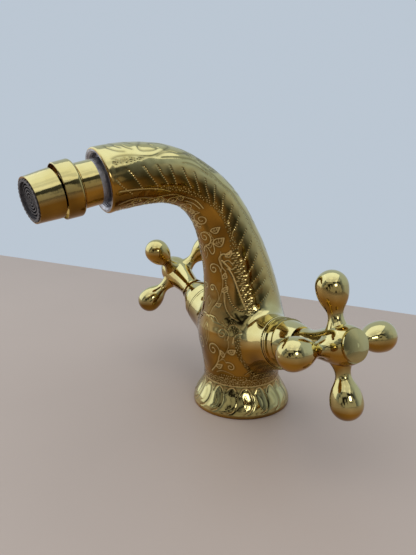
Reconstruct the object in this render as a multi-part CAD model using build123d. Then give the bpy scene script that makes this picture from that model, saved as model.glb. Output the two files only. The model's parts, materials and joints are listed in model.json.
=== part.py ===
"""Two-handle monobloc bidet mixer: engraved brass body with a swan-neck spout, cross handles
and a ball-jointed outlet nozzle.

Frame: +Z up, origin at the centre of the base on the deck plane, the spout points along -Y,
the cold valve lies towards +X and the hot valve towards -X. Millimetres throughout.
"""

import math
import os

from build123d import *

# ---------------------------------------------------------------- driving dimensions
# Base and trunk of the body casting
BASE_RADIUS = 25.0
BASE_LIP_HEIGHT = 1.2
FLARE_HEIGHT = 15.0
NECK_RADIUS = 19.4
TRUNK_RADIUS = 21.8
TRUNK_BULGE_HEIGHT = 38.0
TRUNK_TOP = 42.0

# Underside of the base
CAVITY_RADIUS = 20.0
CAVITY_DEPTH = 7.0
GASKET_RADIUS = 23.2
GASKET_WIDTH = 1.8
GASKET_THICKNESS = 1.4
INLET_RADIUS = 4.46
INLET_SPACING = 18.0
INLET_SETBACK = 3.0
INLET_THREAD_DEPTH = 12.0
RISER_RADIUS = 4.0
STUD_RADIUS = 3.4
STUD_FORWARD = 12.0
STUD_DEPTH = 14.0

# Spout: a chain of three arcs, each turning further forward and down
LOWER_BEND_RADIUS = 117.2
LOWER_BEND_ANGLE = 27.7
MAIN_BEND_RADIUS = 41.6
MAIN_BEND_ANGLE = 61.2
TIP_BEND_RADIUS = 101.5
TIP_BEND_ANGLE = 12.4
NOSE_LENGTH = 1.5
THROAT_RADIUS = 11.6
TIP_RADIUS = 13.95
SPOUT_WALL = 2.8
WATERWAY_RADIUS = 8.8
SPOUT_SECTIONS = 16
TRUNK_SECTIONS = 4

# Threaded outlet in the spout tip
OUTLET_THREAD_RADIUS = 11.5
OUTLET_THREAD_DEPTH = 10.5
OUTLET_MOUTH_CHAMFER = 0.9
TIP_EDGE_RADIUS = 1.3

# Valve axes and bosses
VALVE_HEIGHT = 31.0
VALVE_TILT = 17.4
BOSS_END = 34.5
BOSS_RADIUS = 12.3
BOSS_ROOT = 12.0
BOSS_DRAFT = 1.6
BOSS_FILLET = 7.5
VALVE_THREAD_RADIUS = 9.3
SEAT_FACE = 13.0
SEAT_HOLE_RADIUS = 5.5
SEAT_HOLE_END = 6.0

# Headwork (quarter-turn ceramic disc valve)
SKIRT_RADIUS = 8.6
SKIRT_GAP = 0.6
CAVITY_BORE = 7.3
THREAD_LENGTH = 8.6
THREAD_CLEARANCE = 0.05
FLANGE_RADIUS = 10.6
FLANGE_THICKNESS = 1.4
HEX_ACROSS_FLATS = 17.0
HEX_THICKNESS = 4.5
HEADWORK_SEAL_SECTION = 1.2
SEAL_CLEARANCE = 0.02
GLAND_RADIUS = 5.4
GLAND_END = 53.0
WINDOW_WIDTH = 8.0
WINDOW_HEIGHT = 3.0
SEAT_SEAL_HEIGHT = 3.2
SEAT_SEAL_BORE = 4.8
DISC_THICKNESS = 3.0
DISC_PORT_INNER = 2.0
DISC_PORT_OUTER = 5.8
DISC_PORT_ANGLE = 70.0
DRIVER_RADIUS = 6.9
DRIVER_THICKNESS = 4.2
DRIVER_WEB = 1.0
LUG_HEIGHT = 1.4
LUG_WIDTH = 3.0
SPINDLE_RADIUS = 4.0
SPINDLE_BORE_CLEARANCE = 0.06
RUNNING_GAP = 0.05
GLIDE_WASHER_THICKNESS = 0.8
GLIDE_WASHER_PLAY = 0.15
STOP_THICKNESS = 1.0
STOP_RADIUS = 5.7
STOP_TAB_RADIUS = 6.7
STOP_TAB_ANGLE = 24.0
STOP_PLAY_ANGLE = 1.5
TURN_RANGE = 90.0
O_RING_SECTION = 1.5
O_RING_GROOVE_DEPTH = 1.1
O_RING_FIRST = 32.0
O_RING_PITCH = 4.0
CLIP_THICKNESS = 0.8
CLIP_RADIUS = 5.2
CLIP_GROOVE_DEPTH = 0.7
CLIP_GAP_ANGLE = 60.0
SPLINE_LEAD = 0.2
SPLINE_LENGTH = 8.6
SPLINE_TEETH = 20
SPLINE_TOOTH_DEPTH = 0.5

# Bonnet: the decorative cover between boss and handle
BONNET_RADIUS = 11.9
BONNET_BAND_RADIUS = 11.3
HEX_CLEARANCE = 0.2
BONNET_END = 49.4
BONNET_END_RADIUS = 7.5
BONNET_BAND_LENGTH = 6.3
BONNET_STEP = 0.5
BONNET_RIDGE_WIDTH = 0.9
BONNET_RIDGE_PITCH = 1.3
BONNET_RIDGES = 2

# Cross handle
HANDLE_START = 51.8
STEM_RIM_RADIUS = 6.8
STEM_RIM_WIDTH = 0.9
STEM_RADIUS = 6.1
STEM_LENGTH = 9.5
SKIRT_BORE = 5.8
SKIRT_DEPTH = 2.6
ARM_PLANE = 72.1
HUB_RADIUS = 8.4
HUB_FRONT = 80.6
HUB_FRONT_RADIUS = 7.1
ARM_LENGTH = 23.84
ARM_WAIST_AT = 12.0
ARM_WAIST_RADIUS = 3.15
ARM_ROOT_AT = 6.0
ARM_ROOT_RADIUS = 5.6
BULB_RADIUS = 6.84
ARM_COUNT = 4
SOCKET_DEPTH = 9.0
SCREW_SHANK_RADIUS = 2.0
SCREW_HOLE_RADIUS = 2.25
SCREW_SHANK_LENGTH = 12.5
SCREW_HOLE_SPARE = 1.5
SCREW_HEAD_RADIUS = 3.8
SCREW_HEAD_HEIGHT = 2.6
SCREW_KEY_ACROSS_FLATS = 2.5
SCREW_KEY_DEPTH = 1.6
SCREW_SEAT = 69.0
COUNTERBORE_RADIUS = 4.6
CAP_RADIUS = 6.7
CAP_THICKNESS = 1.0
CAP_DOME = 0.7
CAP_PLUG_LENGTH = 4.5
CAP_CLEARANCE = 0.05
HOT_HANDLE_TURN = 46.5
COLD_HANDLE_TURN = -2.5

# Ball-jointed outlet nozzle; lengths run outwards from the face of the spout tip
OUTLET_WASHER_THICKNESS = 1.5
FLANGE_END = -2.6
SOCKET_NECK_RADIUS = 9.45
SOCKET_NECK_END = 9.1
SOCKET_THREAD_RADIUS = 9.0
SOCKET_BORE_RADIUS = 5.6
SOCKET_CUP_RADIUS = 7.95
SOCKET_CUP_START = 4.6
BALL_AT = 12.8
BALL_RADIUS = 7.8
BALL_BORE_RADIUS = 4.6
BALL_STEM_RADIUS = 6.2
SLIP_RING_START = 6.1
SLIP_RING_END = 10.4
SLIP_RING_BORE = 5.8
SWIVEL_SEAL_SECTION = 1.5
RING_NUT_START = 9.9
RING_NUT_END = 17.4
RING_NUT_RADIUS = 11.85
RING_NUT_EDGE_RADIUS = 11.65
RING_NUT_ROOT_RADIUS = 9.9
RING_NUT_MOUTH_RADIUS = 11.15
RING_NUT_LIP = 1.9
NOZZLE_YAW = 6.8
NOZZLE_PITCH = 12.0
NOZZLE_BACK = 4.4
NOZZLE_BACK_RADIUS = 8.0
NOZZLE_SHOULDER_AT = 6.5
NOZZLE_SHOULDER_RADIUS = 10.3
NOZZLE_LENGTH = 17.0
NOZZLE_MOUTH_RADIUS = 9.5
NOZZLE_WALL = 0.7
NOZZLE_BORE_START = 8.2
NOZZLE_WASHER_THICKNESS = 1.2
INSERT_PROUD = 0.4
INSERT_RIM_WIDTH = 1.3
INSERT_SHELL_THICKNESS = 0.9
INSERT_FACE_RECESS = 0.9
INSERT_GROOVE_DEPTH = 1.2
INSERT_RING_COUNT = 6
INSERT_RING_WIDTH = 0.5
INSERT_RIB_WIDTH = 0.7
INSERT_RIB_HEIGHT = 0.8
INSERT_RIB_COUNT = 3
INSERT_NOTCH_COUNT = 30
INSERT_NOTCH_DEPTH = 0.35
INSERT_NOTCH_WIDTH = 0.9
INSERT_NOTCH_HEIGHT = 1.1
PLATE_THICKNESS = 0.8
PLATE_HOLE_RADIUS = 0.6
PLATE_ROW_RADII = (2.2, 4.4)
PLATE_INNER_HOLE_COUNT = 6

MIN_BOTTOM = (Align.CENTER, Align.CENTER, Align.MIN)


# ---------------------------------------------------------------- small helpers
def rod(radius, start, end):
    """A cylinder on +Z from height start to height end."""
    return Pos(0, 0, start) * Cylinder(radius, end - start, align=MIN_BOTTOM)


def tube(outer, inner, start, end):
    """A straight sleeve on +Z."""
    return rod(outer, start, end) - rod(inner, start, end)


def turned(*edges):
    """Revolves a closed outline drawn in the XZ plane about +Z."""
    return revolve(make_face(Wire(list(edges))), Axis.Z)


def outline(*points):
    """A closed chain of straight edges through (radius, height) points."""
    corners = [(radius, 0, height) for radius, height in points]
    return Wire(Polyline(*corners, close=True).edges())


def lathe(*points):
    """Revolves a polygon of (radius, height) corners about +Z."""
    return revolve(make_face(outline(*points)), Axis.Z)


def o_ring(centre_radius, groove, height):
    """A ring of eight-sided section that fills a square groove but for a hair of clearance."""
    corner = (groove / 2 - SEAL_CLEARANCE) / math.cos(math.pi / 8)
    corners = []
    for index in range(8):
        angle = math.pi / 8 + math.pi / 4 * index
        corners.append(
            (centre_radius + corner * math.cos(angle), height + corner * math.sin(angle))
        )
    return lathe(*corners)


# ---------------------------------------------------------------- where things stand
def arc_end(position, heading, radius, angle):
    """Follows an arc forwards (-Y) from a (y, z) position; heading is the turn from +Z in degrees."""
    before, after = math.radians(heading), math.radians(heading + angle)
    y = position[0] - radius * (math.cos(before) - math.cos(after))
    z = position[1] + radius * (math.sin(after) - math.sin(before))
    return (y, z)


BENDS = (
    (LOWER_BEND_RADIUS, LOWER_BEND_ANGLE),
    (MAIN_BEND_RADIUS, MAIN_BEND_ANGLE),
    (TIP_BEND_RADIUS, TIP_BEND_ANGLE),
)
SPOUT_LENGTH = sum(radius * math.radians(angle) for radius, angle in BENDS)
THROAT_AT = math.radians(LOWER_BEND_ANGLE) * LOWER_BEND_RADIUS + (
    math.radians(MAIN_BEND_ANGLE) * MAIN_BEND_RADIUS / 2
)


def spout_plane(length):
    """The plane square to the spout's centre line at that length from the trunk's top."""
    position, heading, left = (0.0, TRUNK_TOP), 0.0, length
    for radius, angle in BENDS:
        step = min(angle, math.degrees(left / radius))
        position = arc_end(position, heading, radius, step)
        heading += step
        left -= radius * math.radians(step)
    turn = math.radians(heading)
    return Plane(
        origin=(0, *position), x_dir=(1, 0, 0), z_dir=(0, -math.sin(turn), math.cos(turn))
    )


def spout_radius(length):
    """Outside radius of the spout: it tapers to the throat and swells again to the tip."""
    if length < THROAT_AT:
        return THROAT_RADIUS + (TRUNK_RADIUS - THROAT_RADIUS) * (1 - length / THROAT_AT) ** 1.4
    share = (length - THROAT_AT) / (SPOUT_LENGTH - THROAT_AT)
    return THROAT_RADIUS + (TIP_RADIUS - THROAT_RADIUS) * math.sin(math.pi / 2 * share) ** 1.2


def trunk_radius(height):
    """Outside radius of the trunk between the neck and the spout's root."""
    share = (height - FLARE_HEIGHT) / (TRUNK_BULGE_HEIGHT - FLARE_HEIGHT)
    share = max(0.0, min(1.0, share))
    return NECK_RADIUS + (TRUNK_RADIUS - NECK_RADIUS) * share * share * (3 - 2 * share)


def valve_plane(side):
    """A valve's frame: +Z out along its axis and +X up; side is 1 for cold and -1 for hot."""
    tilt = math.radians(VALVE_TILT)
    return Plane(
        origin=(0, 0, VALVE_HEIGHT),
        x_dir=(-side * math.sin(tilt), 0, math.cos(tilt)),
        z_dir=(side * math.cos(tilt), 0, math.sin(tilt)),
    )


TIP_PLANE = spout_plane(SPOUT_LENGTH).offset(NOSE_LENGTH)
BALL_CENTRE = TIP_PLANE.origin + TIP_PLANE.z_dir * BALL_AT


def nozzle_plane():
    """The nozzle's frame: origin at the ball's centre and +Z along the jet."""
    yaw, pitch = math.radians(NOZZLE_YAW), math.radians(NOZZLE_PITCH)
    jet = Vector(
        math.sin(yaw), -math.cos(pitch) * math.cos(yaw), -math.sin(pitch) * math.cos(yaw)
    )
    return Plane(origin=BALL_CENTRE, x_dir=jet.cross(Vector(0, 0, 1)), z_dir=jet)


# ---------------------------------------------------------------- body casting
def base_flare():
    """The bell-shaped foot, up to the neck."""
    rim = Line((BASE_RADIUS, 0, 0), (BASE_RADIUS, 0, BASE_LIP_HEIGHT))
    sweep_up = Spline(
        (BASE_RADIUS, 0, BASE_LIP_HEIGHT),
        (NECK_RADIUS, 0, FLARE_HEIGHT),
        tangents=[(0, 0, 1), (0, 0, 1)],
    )
    top = Line((NECK_RADIUS, 0, FLARE_HEIGHT), (0, 0, FLARE_HEIGHT))
    axis = Line((0, 0, FLARE_HEIGHT), (0, 0, 0))
    floor = Line((0, 0, 0), (BASE_RADIUS, 0, 0))
    return turned(rim, sweep_up, top, axis, floor)


def trunk_and_spout():
    """One smooth loft from the neck, up the trunk and along the spout to its tip."""
    sections = []
    for index in range(TRUNK_SECTIONS):
        height = FLARE_HEIGHT + (TRUNK_TOP - FLARE_HEIGHT) * index / TRUNK_SECTIONS
        sections.append(Pos(0, 0, height) * Circle(trunk_radius(height)))
    for index in range(SPOUT_SECTIONS):
        length = SPOUT_LENGTH * index / (SPOUT_SECTIONS - 1)
        sections.append(spout_plane(length) * Circle(spout_radius(length)))
    return loft(sections)


def nose():
    """Short straight end of the spout with a rounded rim."""
    rounding = NOSE_LENGTH - TIP_EDGE_RADIUS
    face_radius = TIP_RADIUS - TIP_EDGE_RADIUS
    shift = TIP_EDGE_RADIUS * math.sqrt(0.5)
    middle = (face_radius + shift, 0, rounding + shift)
    side = Line((TIP_RADIUS, 0, 0), (TIP_RADIUS, 0, rounding))
    rim = ThreePointArc((TIP_RADIUS, 0, rounding), middle, (face_radius, 0, NOSE_LENGTH))
    face = Line((face_radius, 0, NOSE_LENGTH), (0, 0, NOSE_LENGTH))
    axis = Line((0, 0, NOSE_LENGTH), (0, 0, 0))
    back = Line((0, 0, 0), (TIP_RADIUS, 0, 0))
    return spout_plane(SPOUT_LENGTH) * turned(side, rim, face, axis, back)


def waterway():
    """The mixing chamber and the passage that leads from it to the outlet thread."""
    sections = []
    for index in range(SPOUT_SECTIONS):
        length = SPOUT_LENGTH * index / (SPOUT_SECTIONS - 1)
        radius = spout_radius(length) - SPOUT_WALL
        if length > THROAT_AT:
            radius = WATERWAY_RADIUS
        sections.append(spout_plane(length) * Circle(radius))
    return loft(sections)


def boss(side):
    """The conical boss that carries one valve."""
    length = BOSS_END - BOSS_ROOT
    cone = Cone(BOSS_RADIUS + BOSS_DRAFT, BOSS_RADIUS, length, align=MIN_BOTTOM)
    return valve_plane(side) * (Pos(0, 0, BOSS_ROOT) * cone)


def valve_bore(side):
    """Threaded bore for the headwork, and the seat hole behind it."""
    cut = rod(VALVE_THREAD_RADIUS, SEAT_FACE, BOSS_END + 1) + rod(
        SEAT_HOLE_RADIUS, SEAT_HOLE_END, SEAT_FACE
    )
    return valve_plane(side) * cut


def inlet_bore(side):
    """Hose thread in the underside and the riser up to the valve's seat hole."""
    x = side * INLET_SPACING / 2
    riser_top = VALVE_HEIGHT + x * side * math.tan(math.radians(VALVE_TILT))
    cut = rod(INLET_RADIUS, 0, CAVITY_DEPTH + INLET_THREAD_DEPTH) + rod(
        RISER_RADIUS, CAVITY_DEPTH, riser_top
    )
    return Pos(x, INLET_SETBACK, 0) * cut


def outlet_bore():
    """Threaded mouth of the spout, chamfered at its face."""
    mouth = OUTLET_THREAD_RADIUS + OUTLET_MOUTH_CHAMFER
    return TIP_PLANE * lathe(
        (0, -OUTLET_THREAD_DEPTH),
        (OUTLET_THREAD_RADIUS, -OUTLET_THREAD_DEPTH),
        (OUTLET_THREAD_RADIUS, -OUTLET_MOUTH_CHAMFER),
        (mouth, 0),
        (mouth, 1),
        (0, 1),
    )


def junction_edges(body, side):
    """The edges where one boss meets the trunk."""
    axis = valve_plane(side)
    found = []
    for edge in body.edges():
        middle = edge.center(CenterOf.BOUNDING_BOX)
        along = axis.to_local_coords(middle).Z
        beside_boss = abs(middle.Z - VALVE_HEIGHT) < BOSS_END / 2
        if beside_boss and SEAT_FACE < along < BOSS_END - 1 and edge.length > BOSS_RADIUS:
            found.append(edge)
    return found


def faucet_body():
    """The one-piece casting: foot, trunk, bosses and spout, with its passages."""
    body = base_flare() + trunk_and_spout() + nose() + boss(1) + boss(-1)
    body = fillet(junction_edges(body, 1) + junction_edges(body, -1), BOSS_FILLET)
    body -= waterway()
    for side in (1, -1):
        body -= valve_bore(side)
        body -= inlet_bore(side)
    body -= outlet_bore()
    body -= rod(CAVITY_RADIUS, 0, CAVITY_DEPTH)
    body -= Pos(0, -STUD_FORWARD, 0) * rod(STUD_RADIUS, 0, CAVITY_DEPTH + STUD_DEPTH)
    return body - gasket_ring()


def gasket_ring():
    """Square ring that fills the groove in the rim of the foot."""
    half = GASKET_WIDTH / 2
    return tube(GASKET_RADIUS + half, GASKET_RADIUS - half, 0, GASKET_THICKNESS)


# ---------------------------------------------------------------- headwork, in valve coordinates
FIXED_DISC_START = SEAT_FACE + SEAT_SEAL_HEIGHT
MOVING_DISC_START = FIXED_DISC_START + DISC_THICKNESS + RUNNING_GAP
DRIVER_START = MOVING_DISC_START + DISC_THICKNESS
DRIVER_END = DRIVER_START + DRIVER_THICKNESS
STOP_START = DRIVER_END - STOP_THICKNESS
CAVITY_END = DRIVER_END + GLIDE_WASHER_THICKNESS + GLIDE_WASHER_PLAY
CLIP_START = GLAND_END + RUNNING_GAP
SOCKET_START = HANDLE_START + SKIRT_DEPTH
SPLINE_START = SOCKET_START - SPLINE_LEAD
SPLINE_END = SPLINE_START + SPLINE_LENGTH


def sector(radius, angle, start, end):
    """A pie slice about +X, from the axis out to a radius."""
    half = math.radians(angle / 2)
    arc = ThreePointArc(
        (radius * math.cos(half), -radius * math.sin(half)),
        (radius, 0),
        (radius * math.cos(half), radius * math.sin(half)),
    )
    sides = Polyline(arc @ 1, (0, 0), arc @ 0)
    return Pos(0, 0, start) * extrude(make_face(arc + sides), end - start)


def headwork_housing():
    """Brass housing: windowed skirt, thread, flange, hexagon and gland, bored for the spindle."""
    flange_end = BOSS_END + FLANGE_THICKNESS
    hex_end = flange_end + HEX_THICKNESS
    shell = rod(SKIRT_RADIUS, SEAT_FACE + SKIRT_GAP, BOSS_END)
    shell += rod(VALVE_THREAD_RADIUS - THREAD_CLEARANCE, BOSS_END - THREAD_LENGTH, BOSS_END)
    shell += rod(FLANGE_RADIUS, BOSS_END, flange_end)
    hexagon = RegularPolygon(HEX_ACROSS_FLATS / 2, 6, major_radius=False)
    shell += Pos(0, 0, flange_end) * extrude(hexagon, HEX_THICKNESS)
    shell += rod(GLAND_RADIUS, hex_end, GLAND_END)
    shell -= rod(CAVITY_BORE, SEAT_FACE, STOP_START + RUNNING_GAP)
    shell -= rod(STOP_RADIUS + RUNNING_GAP, STOP_START, CAVITY_END)
    shell -= stop_pocket()
    shell -= rod(SPINDLE_RADIUS + SPINDLE_BORE_CLEARANCE, CAVITY_END, GLAND_END)
    window = Pos(0, 0, DRIVER_START + WINDOW_HEIGHT / 2) * Box(
        4 * SKIRT_RADIUS, WINDOW_WIDTH, WINDOW_HEIGHT
    )
    seal_floor = VALVE_THREAD_RADIUS - HEADWORK_SEAL_SECTION
    seal_top = BOSS_END - HEADWORK_SEAL_SECTION / 2
    groove = tube(VALVE_THREAD_RADIUS, seal_floor, seal_top - HEADWORK_SEAL_SECTION, seal_top)
    return shell - window - groove


def stop_pocket():
    """Quarter-turn pocket in the housing that the spindle's tab swings in."""
    angle = TURN_RANGE + STOP_TAB_ANGLE + 2 * STOP_PLAY_ANGLE
    return sector(CAVITY_BORE, angle, STOP_START, CAVITY_END)


def headwork_seal():
    """O-ring under the flange that seals the headwork to the boss."""
    radius = VALVE_THREAD_RADIUS - HEADWORK_SEAL_SECTION / 2
    return o_ring(radius, HEADWORK_SEAL_SECTION, BOSS_END - HEADWORK_SEAL_SECTION)


def seat_seal():
    """Rubber seal that closes the skirt onto the seat face."""
    return tube(CAVITY_BORE, SEAT_SEAL_BORE, SEAT_FACE, FIXED_DISC_START)


def disc_ports(start, end):
    """The pair of sector-shaped ports through a ceramic disc."""
    slice_shape = sector(DISC_PORT_OUTER, DISC_PORT_ANGLE, start, end)
    port = slice_shape - rod(DISC_PORT_INNER, start, end)
    return port + Rot(0, 0, 180) * port


def fixed_disc():
    """Lower ceramic disc, held in the housing with its ports up and down."""
    end = FIXED_DISC_START + DISC_THICKNESS
    disc = rod(CAVITY_BORE, FIXED_DISC_START, end)
    return disc - disc_ports(FIXED_DISC_START, end)


def lug_bar(width, start, end):
    """The bar across the disc by which the spindle turns it."""
    return Pos(0, 0, (start + end) / 2) * Box(2 * DRIVER_RADIUS, width, end - start)


def moving_disc():
    """Upper ceramic disc, turned by the spindle; its ports lie crosswise when shut."""
    end = MOVING_DISC_START + DISC_THICKNESS
    disc = rod(DRIVER_RADIUS, MOVING_DISC_START, end)
    disc -= Rot(0, 0, 90) * disc_ports(MOVING_DISC_START, end)
    return disc - lug_bar(LUG_WIDTH, end - LUG_HEIGHT, end)


def spindle(opening):
    """Brass spindle: driver, stop tab, sealed shaft, clip groove and splined end.

    opening is the sense of the turn that opens the valve, 1 or -1.
    """
    bottom = DRIVER_START - LUG_HEIGHT
    shaft = rod(DRIVER_RADIUS, DRIVER_START, STOP_START)
    notch = sector(2 * DRIVER_RADIUS, DISC_PORT_ANGLE, DRIVER_START, STOP_START - DRIVER_WEB)
    notch -= rod(SPINDLE_RADIUS - DRIVER_WEB, DRIVER_START, STOP_START)
    for turn in (90, 270):
        shaft -= Rot(0, 0, turn) * notch
    bar = rod(DRIVER_RADIUS, bottom, DRIVER_START)
    shaft += bar & lug_bar(LUG_WIDTH - 2 * RUNNING_GAP, bottom, DRIVER_START)
    shaft += rod(STOP_RADIUS, STOP_START, DRIVER_END)
    tab = sector(STOP_TAB_RADIUS, STOP_TAB_ANGLE, STOP_START, DRIVER_END)
    shaft += Rot(0, 0, -opening * TURN_RANGE / 2) * tab
    shaft += rod(SPINDLE_RADIUS, DRIVER_END, SPLINE_START)
    shaft += spline_bar(0.0, SPLINE_START, SPLINE_END)
    floor = SPINDLE_RADIUS - O_RING_GROOVE_DEPTH
    for height in (O_RING_FIRST, O_RING_FIRST + O_RING_PITCH):
        half = O_RING_SECTION / 2
        shaft -= tube(SPINDLE_RADIUS + 1, floor, height - half, height + half)
    clip_floor = SPINDLE_RADIUS - CLIP_GROOVE_DEPTH
    shaft -= tube(SPINDLE_RADIUS + 1, clip_floor, CLIP_START, CLIP_START + CLIP_THICKNESS)
    return shaft - rod(SCREW_SHANK_RADIUS, screw_tip() - SCREW_HOLE_SPARE, SPLINE_END)


def spline_bar(growth, start, end):
    """A bar with evenly spaced teeth; growth widens it all round, for the socket."""
    tip = SPINDLE_RADIUS + growth
    root = tip - SPLINE_TOOTH_DEPTH
    step = 360 / SPLINE_TEETH
    corners = []
    for tooth in range(SPLINE_TEETH):
        for share, radius in ((0.05, root), (0.3, tip), (0.55, tip), (0.8, root)):
            angle = math.radians(step * (tooth + share))
            corners.append((radius * math.cos(angle), radius * math.sin(angle)))
    face = make_face(Polyline(*corners, close=True))
    return Pos(0, 0, start) * extrude(face, end - start)


def spindle_o_ring(height):
    """One of the O-rings between spindle and housing, centred on its groove."""
    floor = SPINDLE_RADIUS - O_RING_GROOVE_DEPTH
    section = SPINDLE_RADIUS + SPINDLE_BORE_CLEARANCE - floor
    return o_ring(floor + section / 2, section, height)


def glide_washer():
    """Low-friction washer between the driver and the housing."""
    end = DRIVER_END + GLIDE_WASHER_THICKNESS
    return tube(STOP_RADIUS, SPINDLE_RADIUS + RUNNING_GAP, DRIVER_END, end)


def spindle_clip():
    """Open retaining ring on the spindle, above the gland."""
    end = CLIP_START + CLIP_THICKNESS
    ring = tube(CLIP_RADIUS, SPINDLE_RADIUS - CLIP_GROOVE_DEPTH, CLIP_START, end)
    return ring - sector(2 * CLIP_RADIUS, CLIP_GAP_ANGLE, CLIP_START, end)


def bonnet():
    """Decorative cover: ridged band against the boss, then a cone down to the gland."""
    band_end = BOSS_END + BONNET_BAND_LENGTH
    cone_radius = BONNET_BAND_RADIUS - BONNET_STEP
    band = Line((BONNET_BAND_RADIUS, 0, BOSS_END), (BONNET_BAND_RADIUS, 0, band_end))
    step = Line((BONNET_BAND_RADIUS, 0, band_end), (cone_radius, 0, band_end))
    cone = Spline(
        (cone_radius, 0, band_end),
        (BONNET_END_RADIUS, 0, BONNET_END),
        tangents=[(-0.25, 0, 1), (-0.55, 0, 1)],
    )
    face = Line((BONNET_END_RADIUS, 0, BONNET_END), (0, 0, BONNET_END))
    axis = Line((0, 0, BONNET_END), (0, 0, BOSS_END))
    back = Line((0, 0, BOSS_END), (BONNET_BAND_RADIUS, 0, BOSS_END))
    cover = turned(band, step, cone, face, axis, back)
    for ridge in range(BONNET_RIDGES):
        start = BOSS_END + BONNET_RIDGE_PITCH * ridge + BONNET_RIDGE_PITCH - BONNET_RIDGE_WIDTH
        cover += rod(BONNET_RADIUS, start, start + BONNET_RIDGE_WIDTH)
    hex_room = HEX_ACROSS_FLATS / math.sqrt(3) + HEX_CLEARANCE
    hex_end = BOSS_END + FLANGE_THICKNESS + HEX_THICKNESS + HEX_CLEARANCE
    flange_end = BOSS_END + FLANGE_THICKNESS
    cover -= rod(FLANGE_RADIUS + HEX_CLEARANCE, BOSS_END, flange_end)
    cover -= rod(hex_room, flange_end, hex_end)
    return cover - rod(GLAND_RADIUS, hex_end, BONNET_END)


# ---------------------------------------------------------------- cross handle, in valve coordinates
def screw_tip():
    """Height of the end of the handle screw."""
    return SCREW_SEAT - SCREW_SHANK_LENGTH


def handle_hub():
    """Turned stem and hub of the cross handle, with a rim round the open end of the stem."""
    rim_end = HANDLE_START + STEM_RIM_WIDTH
    stem_end = HANDLE_START + STEM_LENGTH
    rim = Line((STEM_RIM_RADIUS, 0, HANDLE_START), (STEM_RIM_RADIUS, 0, rim_end))
    stem = Spline(
        (STEM_RIM_RADIUS, 0, rim_end),
        (STEM_RADIUS, 0, (rim_end + stem_end) / 2),
        (HUB_RADIUS, 0, ARM_PLANE),
        (HUB_FRONT_RADIUS, 0, HUB_FRONT),
        tangents=[(-0.4, 0, 1), (-0.5, 0, 1)],
    )
    front = Line((HUB_FRONT_RADIUS, 0, HUB_FRONT), (0, 0, HUB_FRONT))
    axis = Line((0, 0, HUB_FRONT), (0, 0, HANDLE_START))
    back = Line((0, 0, HANDLE_START), (STEM_RIM_RADIUS, 0, HANDLE_START))
    return turned(rim, stem, front, axis, back)


def handle_arm():
    """One arm on +Z: flared root, waist and a ball-ended bulb."""
    side = Spline(
        (ARM_ROOT_RADIUS, 0, ARM_ROOT_AT),
        (ARM_WAIST_RADIUS, 0, ARM_WAIST_AT),
        (BULB_RADIUS, 0, ARM_LENGTH),
        tangents=[(-0.9, 0, 1), (0, 0, 1)],
    )
    end = ARM_LENGTH + BULB_RADIUS
    middle = math.sqrt(0.5) * BULB_RADIUS
    ball = ThreePointArc(
        (BULB_RADIUS, 0, ARM_LENGTH), (middle, 0, ARM_LENGTH + middle), (0, 0, end)
    )
    axis = Line((0, 0, end), (0, 0, 0))
    root = Line((0, 0, 0), (ARM_ROOT_RADIUS, 0, 0))
    inner = Line((ARM_ROOT_RADIUS, 0, 0), (ARM_ROOT_RADIUS, 0, ARM_ROOT_AT))
    return turned(side, ball, axis, root, inner)


def cross_handle():
    """Stem, hub and four bulb-ended arms, bored for the gland, spindle, screw and cap."""
    handle = handle_hub()
    for index in range(ARM_COUNT):
        spoke = Rot(0, 90, 0) * handle_arm()
        handle += Pos(0, 0, ARM_PLANE) * Rot(0, 0, 360 / ARM_COUNT * index) * spoke
    handle -= rod(SKIRT_BORE, HANDLE_START, SOCKET_START)
    handle -= spline_bar(RUNNING_GAP, SOCKET_START, SOCKET_START + SOCKET_DEPTH)
    handle -= rod(SCREW_HOLE_RADIUS, SOCKET_START, SCREW_SEAT)
    return handle - rod(COUNTERBORE_RADIUS, SCREW_SEAT, HUB_FRONT)


def handle_screw():
    """Socket-head screw that holds the handle on the spindle."""
    head_end = SCREW_SEAT + SCREW_HEAD_HEIGHT
    screw = rod(SCREW_SHANK_RADIUS, screw_tip(), SCREW_SEAT)
    screw += rod(SCREW_HEAD_RADIUS, SCREW_SEAT, head_end)
    key = RegularPolygon(SCREW_KEY_ACROSS_FLATS / 2, 6, major_radius=False)
    return screw - Pos(0, 0, head_end - SCREW_KEY_DEPTH) * extrude(key, SCREW_KEY_DEPTH)


def handle_cap():
    """Domed push-in button over the handle screw."""
    rim = HUB_FRONT + CAP_THICKNESS
    dome_radius = (CAP_RADIUS**2 + CAP_DOME**2) / (2 * CAP_DOME)
    dome = Pos(0, 0, rim + CAP_DOME - dome_radius) * Sphere(dome_radius)
    button = rod(CAP_RADIUS, HUB_FRONT, rim + CAP_DOME) & dome
    plug = COUNTERBORE_RADIUS - CAP_CLEARANCE
    return button + rod(plug, HUB_FRONT - CAP_PLUG_LENGTH, HUB_FRONT)


# ---------------------------------------------------------------- outlet, in tip coordinates
def outlet_washer():
    """Washer on the shoulder at the bottom of the outlet thread."""
    start = -OUTLET_THREAD_DEPTH
    return tube(
        OUTLET_THREAD_RADIUS, WATERWAY_RADIUS, start, start + OUTLET_WASHER_THICKNESS
    )


def swivel_socket():
    """Fixed half of the ball joint: threaded flange, neck and the cup for the ball."""
    start = -OUTLET_THREAD_DEPTH + OUTLET_WASHER_THICKNESS
    cup_end = BALL_AT
    socket = rod(OUTLET_THREAD_RADIUS - THREAD_CLEARANCE, start, FLANGE_END)
    socket += rod(SOCKET_NECK_RADIUS, FLANGE_END, SOCKET_NECK_END)
    socket += rod(SOCKET_THREAD_RADIUS, SOCKET_NECK_END, cup_end)
    socket -= rod(SOCKET_BORE_RADIUS, start, SOCKET_CUP_START)
    return socket - rod(SOCKET_CUP_RADIUS, SOCKET_CUP_START, cup_end)


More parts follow.
